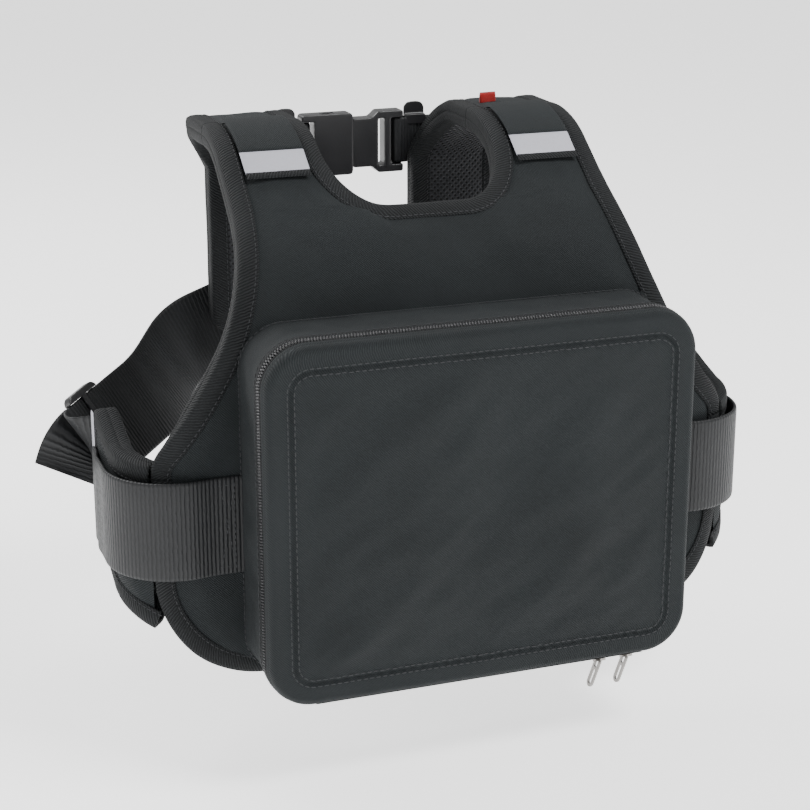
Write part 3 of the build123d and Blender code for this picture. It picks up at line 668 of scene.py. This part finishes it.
# ---------------------------------------------------- reflective strips on the shoulders
def patch(name, a_low, a_high, s_low, s_high, depth, material, side, step=1.0):
    """A patch of cloth on the form, between lengths round it and along it."""
    a = np.linspace(a_low, a_high, max(3, int((a_high - a_low) / step)))
    s = np.linspace(s_low, s_high, max(3, int(abs(s_high - s_low) / step)))
    aa, ss = np.meshgrid(a, s, indexing="ij")
    edge = np.minimum(np.minimum(aa - a_low, a_high - aa), np.minimum(ss - s_low, s_high - ss))
    points = on_form(side * aa, ss, depth + 0.5 * (1 - smooth(edge / 1.2)))
    return grid(name, points, a, s, material, (*TORSO, 1))


for side, word in ((-1, "left"), (1, "right")):
    s_mid = float(near_s_of_y(STRIP_Y))
    across = NECK_HALF + 8.5, ARM_TOP - 8.5
    name = f"shoulder_strip_{word}"
    strip = patch(name, *across, s_mid - 7.5, s_mid + 7.5, -3.3, SILVER, side)
    place(strip, "vest", [f"shoulder_reflective_{word}"], "reflective")
    name = f"shoulder_strip_hem_{word}"
    lip = patch(name, *across, s_mid - 11, s_mid - 6.8, -3.7, TAPE, side, 0.6)
    place(lip, "vest", (), "binding")
    top = patch(f"shoulder_panel_{word}", *across, s_mid + 6.8, S_TOP - 1, -3.6, NYLON, side)
    place(top, "vest", (), "cordura")

# --------------------------------------------------------------------- side wings
WING_TOP = [(-104.0, -137.0), (-67.0, -131.5), (-32.0, -120.0)]
WING_FOOT = [(-104.0, -222.0), (-71.0, -206.0), (-32.0, -185.0)]
A_IN, A_END = float(a_of_x(152.8)) + 0.5, a_of_y(-32.0)


def y_of_a(a):
    """Depth of the side at a length round the plan."""
    return np.interp(a, PLAN_A, PLAN[:, 1])


def wing_edge(line, a):
    """Height of a wing edge at a length round the plan."""
    return np.interp(y_of_a(a), [p[0] for p in line], [p[1] for p in line])


corners = [
    (A_IN, near_s(wing_edge(WING_FOOT, A_IN))),
    (a_of_y(-71.0), near_s(-206.0)),
    (A_END, near_s(-185.0)),
    (A_END, near_s(-120.0)),
    (a_of_y(-67.0), near_s(-131.5)),
    (A_IN, near_s(wing_edge(WING_TOP, A_IN))),
]
wing_line = rounded_path(corners, [20, 7, 7, 20], 1.5)[0]
for side, word in ((-1, "left"), (1, "right")):
    a = np.linspace(A_IN, A_END - 4, 56)
    share = np.linspace(0, 1, 46)
    for name, depth, material, out, swell, node in (
        ("wing_cover", 0.0, NYLON, 1, 0.9, f"side_wing_{word}"),
        ("wing_mesh", PAD, LINING, -1, -1.0, None),
    ):
        points = np.zeros((len(a), len(share), 3))
        for i, at in enumerate(a):
            low, high = wing_edge(WING_FOOT, at) + 4, wing_edge(WING_TOP, at) - 4
            z = low + (high - low) * share
            upright = np.minimum(z - low, high - z)
            edge = np.minimum(upright, np.minimum(at - A_IN + 2, A_END - at))
            base = on_form(side * at, near_s(z), depth)
            lift = swell * smooth(edge / 14) * (1.2 + lumps(base, 28.0, 4.4))
            points[i] = on_form(side * at, near_s(z), depth - lift)
        middle = (side * 120, -60, -165, out)
        piece = grid(f"{name}_{word}", points, a, share * 70, material, middle)
        if node:
            place(piece, "vest", [node], "cordura", pad=0.5)
        else:
            place(piece, "vest", (), "air_mesh")
    line = wing_line * np.array([side, 1])
    bind(f"wing_tape_{word}", line, side, f"wing_binding_{word}")
    ends = near_s(-181.0), near_s(-124.0)
    strip = patch(f"wing_strip_{word}", A_END - 5.0, A_END + 0.4, *ends, -1.9, SILVER, side)
    place(strip, "vest", [f"wing_reflective_{word}"], "reflective")


# ------------------------------------------------------------------------ webbing
def webbing(name, path, ups, faces_out, width, thick, pitch, rib=0.22):
    """Ribbed webbing along a path: ups run across its width, faces_out off its face."""
    step = pitch / 5
    even, lengths = resample(path, step)
    full = np.concatenate([[0], np.cumsum(np.linalg.norm(np.diff(path, axis=0), axis=1))])
    up = np.stack([np.interp(lengths, full, ups[:, k]) for k in range(3)], axis=1)
    out = np.stack([np.interp(lengths, full, faces_out[:, k]) for k in range(3)], axis=1)
    up /= np.linalg.norm(up, axis=1)[:, None]
    out -= up * np.sum(out * up, axis=1)[:, None]
    out /= np.linalg.norm(out, axis=1)[:, None]
    half, h = width / 2, thick / 2
    across = [-half, -half + 0.5, -half + 1.6, -half / 2, 0, half / 2, half - 1.6, half - 0.5, half]
    rise = [0.35, 0.9, 1, 1, 1, 1, 1, 0.9, 0.35]
    section = [(w, h * r, 1) for w, r in zip(across, rise)]
    section += [(w, -h * r, -1) for w, r in zip(across[::-1], rise[::-1])]
    ribs = rib * np.abs(np.sin(math.pi * lengths / pitch))
    points = np.zeros((len(even), len(section), 3))
    v = [0.0]
    for k, (w, d, face) in enumerate(section):
        soft = face * ribs * (1 if abs(w) < half - 0.6 else 0.3)
        points[:, k] = even + up * w + out * (d + soft)[:, None]
        following = section[(k + 1) % len(section)]
        v.append(v[-1] + math.hypot(following[0] - w, following[1] - d))
    wave = lumps(even[:, None, :], 30.0, 5.5) * 0.35
    points += out[:, None, :] * wave[..., None]
    return grid(name, points, lengths, v, WEB, wrap=True, caps=True)


def stitch_box(name, corner_points, out, pitch=3.0):
    """A sewn box with a cross, from its four corners."""
    p = [np.array(c, float) for c in corner_points]
    lines = [(p[0], p[1]), (p[1], p[2]), (p[2], p[3]), (p[3], p[0]), (p[0], p[2]), (p[1], p[3])]
    sets = []
    for a, b in lines:
        row = np.array([a + (b - a) * t for t in np.linspace(0, 1, 30)])
        sets.append(stitch_line(row, np.tile(out, (30, 1)), pitch))
    centres, ways, ups = (np.concatenate(x) for x in zip(*sets))
    return capsules(name, centres, ways, ups, 2.2, 0.6, 0.5, THREAD)


HANDLE_LOW, HANDLE_HIGH, HANDLE_END_Y = -191.0, -141.0, -38.0
HANDLE_W = HANDLE_HIGH - HANDLE_LOW
OUT_OF_POUCH, OUT_OF_CHEST = np.array([0.0, -1.0, 0.0]), np.array([0.0, 1.0, 0.0])
for side, word in ((-1, "left"), (1, "right")):
    a = np.linspace(109.5, a_of_y(HANDLE_END_Y), 160)
    s_mid = near_s((HANDLE_LOW + HANDLE_HIGH) / 2)
    rise = smooth((a - 122) / 14) * smooth((a[-1] - 6 - a) / 10)
    depth = -2.4 - 1.6 * rise - 1.6 * np.exp(-(((a - 158) / 22) ** 2))
    path = on_form(side * a, s_mid, depth)
    outward = on_form(side * a, s_mid, depth - 1) - path
    ups = np.tile([0.0, 0.0, 1.0], (len(a), 1))
    piece = webbing(f"handle_{word}", path, ups, outward, HANDLE_W, 1.7, 2.1)
    place(piece, "vest", [f"grab_handle_{word}"], "webbing", flat=(HANDLE_W, path_length(path)))
    low, high = near_s(HANDLE_LOW + 4), near_s(HANDLE_HIGH - 4)
    round_box = ((114, low), (121, low), (121, high), (114, high))
    box = [on_form(side * x, s, -3.45) for x, s in round_box]
    place(stitch_box(f"handle_box_{word}", box, OUT_OF_POUCH), "vest", (), "webbing")

SLIDE_AT = np.array([155.0, -6.0, -146.0])
RUN = np.array([-0.74, 0.63, 0.25])
RUN /= np.linalg.norm(RUN)
BAR = np.array([24.0, 10.0, 38.0])
BAR -= RUN * np.dot(RUN, BAR)
BAR /= np.linalg.norm(BAR)
SIDE_W, WEB_T = 46.0, 1.6


def bend(p0, t0, u0, p3, t3, u3, pull, count=40):
    """Webbing's middle line and its ups, turning from one station to another."""
    p1, p2 = p0 + t0 * pull, p3 - t3 * pull
    line, ups = [], []
    for f in np.linspace(0, 1, count):
        r = 1 - f
        line.append(p0 * r**3 + p1 * 3 * r * r * f + p2 * 3 * r * f * f + p3 * f**3)
        way = (p1 - p0) * r * r + (p2 - p1) * 2 * r * f + (p3 - p2) * f * f
        way /= np.linalg.norm(way)
        up = u0 * r + u3 * f
        up -= way * np.dot(way, up)
        ups.append(up / np.linalg.norm(up))
    return np.array(line), np.array(ups)


tilt = math.radians(20.0)
off_strap = np.array([math.cos(tilt), 0, -math.sin(tilt)])
up_strap = np.array([math.sin(tilt), 0, math.cos(tilt)])
strap_mid = np.array([67.0, 55.7, -106.5])
low, high = SLIDE_AT - RUN * 12, SLIDE_AT + RUN * 34
wing_at = np.array([161.15, -31.2, -152.0])
straight = np.array([low + (high - low) * t for t in np.linspace(0.03, 0.97, 20)])
sewn = np.array([strap_mid + off_strap * t for t in np.linspace(18.5, -19, 12)])
parts = [
    bend(wing_at, np.array([0, 1.0, 0]), np.array([0, 0, 1.0]), low, RUN, BAR, 7.0),
    (straight, np.tile(BAR, (20, 1))),
    bend(high, RUN, BAR, strap_mid + off_strap * 19, -off_strap, up_strap, 26.0),
    (sewn, np.tile(up_strap, (12, 1))),
]
side_path = np.concatenate([p[0] for p in parts])
side_ups = np.concatenate([p[1] for p in parts])
tail_out = np.cross(RUN, BAR)
tail_out *= np.sign(tail_out[0])
tail_path, tail_ups = bend(
    low + tail_out * 1.9, -RUN, BAR, low + tail_out * 1.9 + np.array([9.0, -5.0, -15.0]),
    np.array([0.45, -0.3, -0.84]), BAR, 6.0, 24,
)
for side, word in ((-1, "left"), (1, "right")):
    flip = np.array([side, 1, 1])
    way = np.gradient(side_path, axis=0)
    out = np.cross(side_ups, way)
    ribbed = (SIDE_W, WEB_T, 1.9, 0.16)
    piece = webbing(f"side_band_{word}", side_path * flip, side_ups * flip, out * flip, *ribbed)
    nodes = [f"side_webbing_{word}", f"wing_webbing_{word}"]
    place(piece, "vest", nodes, "webbing", flat=(SIDE_W, path_length(side_path)))
    way = np.gradient(tail_path, axis=0)
    out = np.cross(tail_ups, way)
    piece = webbing(f"side_tail_{word}", tail_path * flip, tail_ups * flip, out * flip, *ribbed)
    place(piece, "vest", [f"webbing_tail_{word}"], "webbing", flat=(SIDE_W, path_length(tail_path)))
    corner = [strap_mid * flip + off_strap * flip * x + up_strap * z + np.array([0, 1.15, 0])
              for x, z in ((-14, -19), (10, -19), (10, 19), (-14, 19))]
    place(stitch_box(f"side_box_{word}", corner, OUT_OF_CHEST), "vest", (), "webbing")

CHEST_Z, CHEST_W, BUCKLE_Y, BAR_X = -14.5, 25.0, 56.0, 27.45
turn = np.linspace(-math.pi * 0.62, math.pi * 0.62, 26)
loop = np.stack([BAR_X - 3.1 * np.cos(turn), BUCKLE_Y + 2.85 * np.sin(turn)], axis=1)
chest = np.concatenate([
    [[68.0, 55.7], [40.0, 55.7], [34.0, 54.9]],
    loop,
    [[33.5, 57.6], [44.0, 57.5], [62.0, 57.5]],
])
chest = resample(chest, 1.0)[0]
for side, word in ((-1, "left"), (1, "right")):
    path = np.stack([side * chest[:, 0], chest[:, 1], np.full(len(chest), CHEST_Z)], axis=1)
    way = np.gradient(path, axis=0)
    ups = np.tile([0.0, 0.0, 1.0], (len(path), 1))
    piece = webbing(f"chest_band_{word}", path, ups, np.cross(ups, way), CHEST_W, 1.5, 1.7, 0.14)
    place(piece, "vest", [f"chest_webbing_{word}"], "webbing", flat=(CHEST_W, path_length(path)))
    box = ((48, -9), (60, -9), (60, 9), (48, 9))
    corner = [np.array([side * x, 58.5, CHEST_Z + z]) for x, z in box]
    place(stitch_box(f"chest_box_{word}", corner, OUT_OF_CHEST, 2.6), "vest", (), "webbing")


# ------------------------------------------------------------------ moulded pieces
def moulded(name, node, voxel, rounds, material, body, slot):
    """A moulded piece: its node's form with every edge rounded."""
    source = frame["nodes"][node]
    mesh = source.data.copy()
    piece = bpy.data.objects.new(name, mesh)
    bpy.context.collection.objects.link(piece)
    remesh = piece.modifiers.new("even", "REMESH")
    remesh.mode = "VOXEL"
    remesh.voxel_size = voxel * MM
    soften = piece.modifiers.new("soften", "SMOOTH")
    soften.factor, soften.iterations = 0.5, rounds
    graph = bpy.context.evaluated_depsgraph_get()
    done = bpy.data.meshes.new_from_object(piece.evaluated_get(graph))
    piece.modifiers.clear()
    piece.data = done
    done.materials.clear()
    done.materials.append(material)
    done.polygons.foreach_set("use_smooth", [True] * len(done.polygons))
    return place(piece, body, [node], slot)


for node, body, voxel, rounds in (
    ("buckle_female", "vest", 0.55, 5),
    ("buckle_male", "vest", 0.55, 5),
    ("buckle_prong_upper", "prong_upper", 0.4, 3),
    ("buckle_prong_lower", "prong_lower", 0.4, 3),
    ("side_slide_left", "slide_left", 0.5, 3),
    ("side_slide_right", "slide_right", 0.5, 3),
    ("chest_keeper_left", "vest", 0.4, 5),
    ("chest_keeper_right", "vest", 0.4, 5),
):
    moulded(node + "_form", node, voxel, rounds, PLASTIC, body, "plastic")
for node, voxel in (
    ("zip_slider_left", 0.2),
    ("zip_slider_right", 0.2),
    ("zip_pull_left", 0.15),
    ("zip_pull_right", 0.15),
):
    moulded(node + "_form", node, voxel, 3, NICKEL, node.replace("zip_", ""), "nickel")

tab_a, tab_s = NECK_HALF + STRAP_W / 3, S_TOP + 13.5
tab_base = on_form(tab_a, tab_s, 0.5)
fold = [(0, 0.9), (2.5, 1.0), (5.5, 0.8), (7.0, 0.0), (5.5, -0.8), (2.5, -1.0), (0, -0.9)]
tab_x = np.linspace(-4.5, 4.5, 12)
tab_points = np.array([
    [tab_base + np.array([x, y + 0.3 * math.sin(x / 2), z]) for z, y in fold] for x in tab_x
])
tab_v = [0, 2.5, 5.5, 7.2, 9, 12, 14.5, 16]
tab = grid("red_tab", tab_points, tab_x, tab_v, RED, wrap=True, caps=True)
place(tab, "vest", ["shoulder_tab"], "red_label")

# -------------------------------------------------------------------------- pouch
P_HALF, P_TOP, P_FOOT, P_R = 110.0, -67.0, -247.0, 22.0
P_MID, P_H = (P_TOP + P_FOOT) / 2, (P_TOP - P_FOOT) / 2
FRONT, FOLD_HALF = -149.0, 87.0


def ring_path(step):
    """The pouch's edge from the middle of its foot and round by the right, with normals."""
    points, normals = [[0.0, P_FOOT]], [[0.0, -1.0]]
    for cx, cz, start in ((1, -1, -90), (1, 1, 0), (-1, 1, 90), (-1, -1, 180)):
        for t in np.linspace(0, 90, 24):
            a = math.radians(start + t)
            normals.append([math.cos(a), math.sin(a)])
            centre_x, centre_z = cx * (P_HALF - P_R), P_MID + cz * (P_H - P_R)
            points.append([centre_x + P_R * math.cos(a), centre_z + P_R * math.sin(a)])
    points.append([0.0, P_FOOT])
    normals.append([0.0, -1.0])
    both = np.concatenate([points, normals], axis=1)
    gaps = np.linalg.norm(np.diff(both[:, :2], axis=0), axis=1)
    lengths = np.concatenate([[0], np.cumsum(gaps)])
    count = int(round(lengths[-1] / step))
    even = np.linspace(0, lengths[-1], count + 1)
    out = np.stack([np.interp(even, lengths, both[:, k]) for k in range(4)], axis=1)
    out[:, 2:] /= np.linalg.norm(out[:, 2:], axis=1)[:, None]
    return out, even


def ring_strip(name, section, material, upper_only=False, ripple=0.0, seed=0.0):
    """Cloth round the pouch: the section is (out, y); upper_only leaves out the fold."""
    path, lengths = ring_path(2.0)
    if upper_only:
        keep = ~((np.abs(path[:, 0]) < FOLD_HALF + 0.3) & (path[:, 1] < P_FOOT + 1))
        path, lengths = path[keep], lengths[keep]
    points = np.zeros((len(path), len(section), 3))
    for k, (out, y) in enumerate(section):
        points[:, k, 0] = path[:, 0] + path[:, 2] * out
        points[:, k, 1] = y
        points[:, k, 2] = path[:, 1] + path[:, 3] * out
    if ripple:
        wave = lumps(points, 19.0, seed) * ripple
        last = len(section) - 1
        wave *= np.array([0.15 + 0.85 * math.sin(math.pi * k / last) for k in range(last + 1)])
        points[..., 0] += path[:, None, 2] * wave
        points[..., 2] += path[:, None, 3] * wave
    sides = [math.dist(p, q) for p, q in zip(section, section[1:])]
    v = np.concatenate([[0], np.cumsum(sides)])
    piece = grid(name, points, lengths, v, material, (0, -125, P_MID, 1))
    weld(piece)
    return piece


def edge_distance(x, z):
    """How far inside the pouch's edge a point lies."""
    qx, qz = np.abs(x) - (P_HALF - P_R), np.abs(z - P_MID) - (P_H - P_R)
    outside = np.hypot(np.maximum(qx, 0), np.maximum(qz, 0))
    return P_R - outside - np.minimum(np.maximum(qx, qz), 0)


def flap_y(x, z, e):
    """Depth of the flap's face: a flat flange, a sewn line, then a soft swell."""
    r = 4.0
    turn = np.where(e < r, r - np.sqrt(np.maximum(r * r - (r - e) ** 2, 0)), 0)
    base = np.stack([x, 0 * x, z], axis=-1)
    slope = np.stack([(x + z * 0.7) / 2.6, 0 * x, (z - x * 0.7) * 1.15], axis=-1)
    inner = smooth((e - 13) / 40)
    swell = 3.8 * inner * (0.85 + 0.25 * (P_MID - z) / P_H)
    soft = lumps(base, 62.0, 2.3) * 3.4 * inner
    soft += lumps(slope, 26.0, 7.7) * 2.2 * smooth((e - 10) / 18)
    flange = lumps(base, 15.0, 6.1, 1) * 0.35 * smooth(e / 5)
    seam = 1.0 * np.exp(-(((e - 12.0) / 1.1) ** 2))
    pucker = 0.35 * np.sin((x + z) * 1.1) * np.exp(-(((e - 14.0) / 2.5) ** 2))
    return FRONT + turn - swell - soft - flange + seam + pucker




def crowded(count, pull):
    """Values from -1 to 1 that lie closer together near both ends."""
    bend_by = math.pi / 2 * pull
    return np.sin(np.linspace(-1, 1, count) * bend_by) / math.sin(bend_by)


z_rows = P_MID + P_H * crowded(171, 0.999)
share = crowded(201, 0.93)
flap_points = np.zeros((len(z_rows), len(share), 3))
for i, z in enumerate(z_rows):
    over = max(0.0, abs(z - P_MID) - (P_H - P_R))
    half = P_HALF - P_R + math.sqrt(max(P_R**2 - over**2, 0))
    x = half * share
    zz = np.full_like(x, z)
    flap_points[i] = np.stack([x, flap_y(x, zz, np.maximum(edge_distance(x, zz), 0)), zz], axis=1)
FAR_BEHIND = (0, 200, P_MID)
flap = grid("flap_face", flap_points, z_rows, share * P_HALF, NYLON, (*FAR_BEHIND, 1))
place(flap, "flap", ["pouch_flap"], "cordura", pad=0.3)
INSIDE = 0.985              # the lining's size against the face's
inner_points = (flap_points * np.array([INSIDE, 1, 1]) + np.array([0, 1.6, 0]))[::3, ::3]
inner_points[..., 2] = P_MID + (inner_points[..., 2] - P_MID) * INSIDE
inner_v = share[::3] * P_HALF
flap_inside = grid("flap_inside", inner_points, z_rows[::3], inner_v, NYLON, (*FAR_BEHIND, -1))
place(flap_inside, "flap", (), "cordura")
rim_section = [
    (0, -145.05), (0.5, -143.8), (0.5, -142.6), (-0.1, -141.2), (-1.4, -141.2), (-1.4, -144.5),
]
rim = ring_strip("flap_rim", rim_section, NYLON, upper_only=True)
place(rim, "flap", (), "cordura")
FOLD_FRONT, FOLD_BACK = -147.0, -139.2
fold_y = np.linspace(FOLD_FRONT, FOLD_BACK, 9)
fold_x = np.linspace(-FOLD_HALF, FOLD_HALF, 120)
fx, fy = np.meshgrid(fold_x, fold_y, indexing="ij")
fold_sag = 0.6 * np.sin((fy - FOLD_FRONT) / (FOLD_BACK - FOLD_FRONT) * math.pi)
fold_points = np.stack([fx, fy, P_FOOT + 0.1 - fold_sag], axis=-1)
fold = grid("fold", fold_points, fold_x, fold_y, NYLON, (0, -143, P_MID, 1))
place(fold, "vest", ["flap_fold"], "cordura")

gusset_y = np.linspace(-133.0, -102.6, 16)
gusset_section = [(-0.9 * math.sin(math.pi * k / 15) + 0.1, y) for k, y in enumerate(gusset_y)]
gusset = ring_strip("gusset", gusset_section, NYLON, ripple=1.3, seed=2.2)
place(gusset, "vest", ["pouch_gusset"], "cordura")
lining = ring_strip("gusset_inside", [(o - 1.5, y) for o, y in gusset_section[::3]], NYLON)
place(lining, "vest", (), "cordura")
floor_u = np.linspace(-108, 108, 60)
back_x, back_z = np.meshgrid(floor_u, np.linspace(P_FOOT + 2, P_TOP - 2, 50), indexing="ij")
uneven = lumps(np.stack([back_x, back_z, back_x * 0], axis=-1), 30.0)
back_points = np.stack([back_x, -103.9 - 0.4 * uneven, back_z], axis=-1)
shrink = np.clip(edge_distance(back_x, back_z), -9, 0)
back_points[..., 0] += np.sign(back_x) * shrink
floor_v = np.linspace(P_FOOT, P_TOP, 50)
back = grid("pouch_floor", back_points, floor_u, floor_v, NYLON, (*FAR_BEHIND, 1))
place(back, "vest", ["pouch_back"], "cordura")

band_section = [(-0.2, -137.6), (0.35, -136.2), (0.55, -134.6), (0.5, -133.0), (-1.2, -132.6)]
zip_band = ring_strip("zip_band", band_section, TAPE)
place(zip_band, "vest", ["zip_tape"], "binding")
band_section = [(0.3, -141.6), (0.45, -140.8), (-0.2, -139.4), (-1.2, -139.4)]
flap_band = ring_strip("zip_band_flap", band_section, TAPE, upper_only=True)
place(flap_band, "flap", (), "binding")


def teeth(name, y, shift, upper_only):
    """One side of the zip's teeth."""
    path, lengths = ring_path(0.5)
    at = np.arange(shift, lengths[-1], 1.5)
    row = np.stack([np.interp(at, lengths, path[:, k]) for k in range(4)], axis=1)
    if upper_only:
        row = row[~((np.abs(row[:, 0]) < FOLD_HALF + 0.8) & (row[:, 1] < P_FOOT + 1))]
    out = np.stack([row[:, 2], row[:, 2] * 0, row[:, 3]], axis=1)
    centres = np.stack([row[:, 0], row[:, 0] * 0 + y, row[:, 1]], axis=1) + out * 0.45
    ways = np.tile([0.0, 1.0, 0.0], (len(row), 1))
    return capsules(name, centres, ways, out, 2.5, 0.95, 0.9, COIL)


place(teeth("teeth_pouch", -137.35, 0.0, False), "vest", ["zip_coil_pouch"], "zip_coil")
place(teeth("teeth_flap", -139.55, 0.75, True), "flap", ["zip_coil_flap"], "zip_coil")

seam_lines = []
for inset in (10.4, 13.8):
    path, lengths = ring_path(1.0)
    x = np.clip(path[:, 0], -(P_HALF - P_R), P_HALF - P_R)
    z = np.clip(path[:, 1], P_MID - P_H + P_R, P_MID + P_H - P_R)
    r = P_R - inset
    x, z = x + path[:, 2] * r, z + path[:, 3] * r
    y = flap_y(x, z, edge_distance(x, z)) - 0.12
    seam = np.stack([x, y, z], axis=1)
    seam_lines.append(stitch_line(seam, np.tile(OUT_OF_POUCH, (len(seam), 1)), 3.3))
centres, ways, ups = (np.concatenate(x) for x in zip(*seam_lines))
place(capsules("flap_stitches", centres, ways, ups, 2.3, 0.6, 0.5, THREAD), "flap", (), "cordura")
seam_lines = []
for y, out in ((-131.4, 0.25), (-104.6, 0.3)):
    path, lengths = ring_path(1.0)
    x, z = path[:, 0] + path[:, 2] * out, path[:, 1] + path[:, 3] * out
    seam = np.stack([x, np.full_like(x, y), z], axis=1)
    up = np.stack([path[:, 2], path[:, 0] * 0, path[:, 3]], axis=1)
    seam_lines.append(stitch_line(seam, up, 3.3))
centres, ways, ups = (np.concatenate(x) for x in zip(*seam_lines))
place(capsules("gusset_stitches", centres, ways, ups, 2.3, 0.6, 0.5, THREAD), "vest", (), "cordura")

# ------------------------------------------------------------------ camera and light
camera = bpy.data.objects.new("camera", bpy.data.cameras.new("camera"))
bpy.context.collection.objects.link(camera)
camera.data.lens = 88
camera.data.sensor_width = 36
target = Vector((0, -0.032, -0.140))
CAMERA_AWAY = 1.052
az, el = math.radians(-20), math.radians(18)
back = Vector((math.sin(az) * math.cos(el), -math.cos(az) * math.cos(el), math.sin(el)))
camera.location = target + back * CAMERA_AWAY
camera.rotation_mode = "QUATERNION"
camera.rotation_quaternion = (-back).to_track_quat("-Z", "Y")
bpy.context.scene.camera = camera


def area_light(name, location, size, power):
    """A soft lamp turned towards the vest."""
    light = bpy.data.lights.new(name, "AREA")
    light.size, light.energy = size, power
    lamp = bpy.data.objects.new(name, light)
    lamp.location = location
    lamp.rotation_mode = "QUATERNION"
    towards = Vector((0, -0.05, -0.12)) - lamp.location
    lamp.rotation_quaternion = towards.to_track_quat("-Z", "Y")
    bpy.context.collection.objects.link(lamp)


area_light("key", (0.7, -0.7, 1.2), 0.6, 24)
area_light("fill", (-1.2, -0.9, 0.4), 0.8, 4)
area_light("rim", (-0.7, 0.9, 0.9), 0.7, 20)
world = bpy.data.worlds.new("world")
bpy.context.scene.world = world
world.use_nodes = True
world.node_tree.nodes["Background"].inputs[0].default_value = (1.0, 1.0, 1.0, 1)
world.node_tree.nodes["Background"].inputs[1].default_value = 0.6

floor = bpy.data.meshes.new("floor")
FLOOR_Z, FLOOR_HALF = -0.29, 9
floor_corners = [
    (x * FLOOR_HALF, y * FLOOR_HALF, FLOOR_Z) for x, y in ((-1, -1), (1, -1), (1, 1), (-1, 1))
]
floor.from_pydata(floor_corners, [], [(0, 1, 2, 3)])
floor_material = bpy.data.materials.new("floor")
floor_material.use_nodes = True
floor_shader = floor_material.node_tree.nodes["Principled BSDF"]
floor_shader.inputs["Base Color"].default_value = (0.9, 0.9, 0.9, 1)
floor_shader.inputs["Roughness"].default_value = 0.9
floor_shader.inputs["Emission Color"].default_value = (1, 1, 1, 1)
floor_shader.inputs["Emission Strength"].default_value = 1.3
floor.materials.append(floor_material)
floor_piece = bpy.data.objects.new("floor", floor)
bpy.context.collection.objects.link(floor_piece)

slots = {
    "cordura": NYLON, "foam": LINING, "air_mesh": LINING, "binding": TAPE, "reflective": SILVER,
    "red_label": RED, "webbing": WEB, "plastic": PLASTIC, "zip_coil": COIL, "nickel": NICKEL,
}
for part in frame["record"]["subparts"]:
    node = frame["nodes"].get(part["node"])
    if node is not None:
        node.data.materials.clear()
        node.data.materials.append(slots[part["material_slot"]])
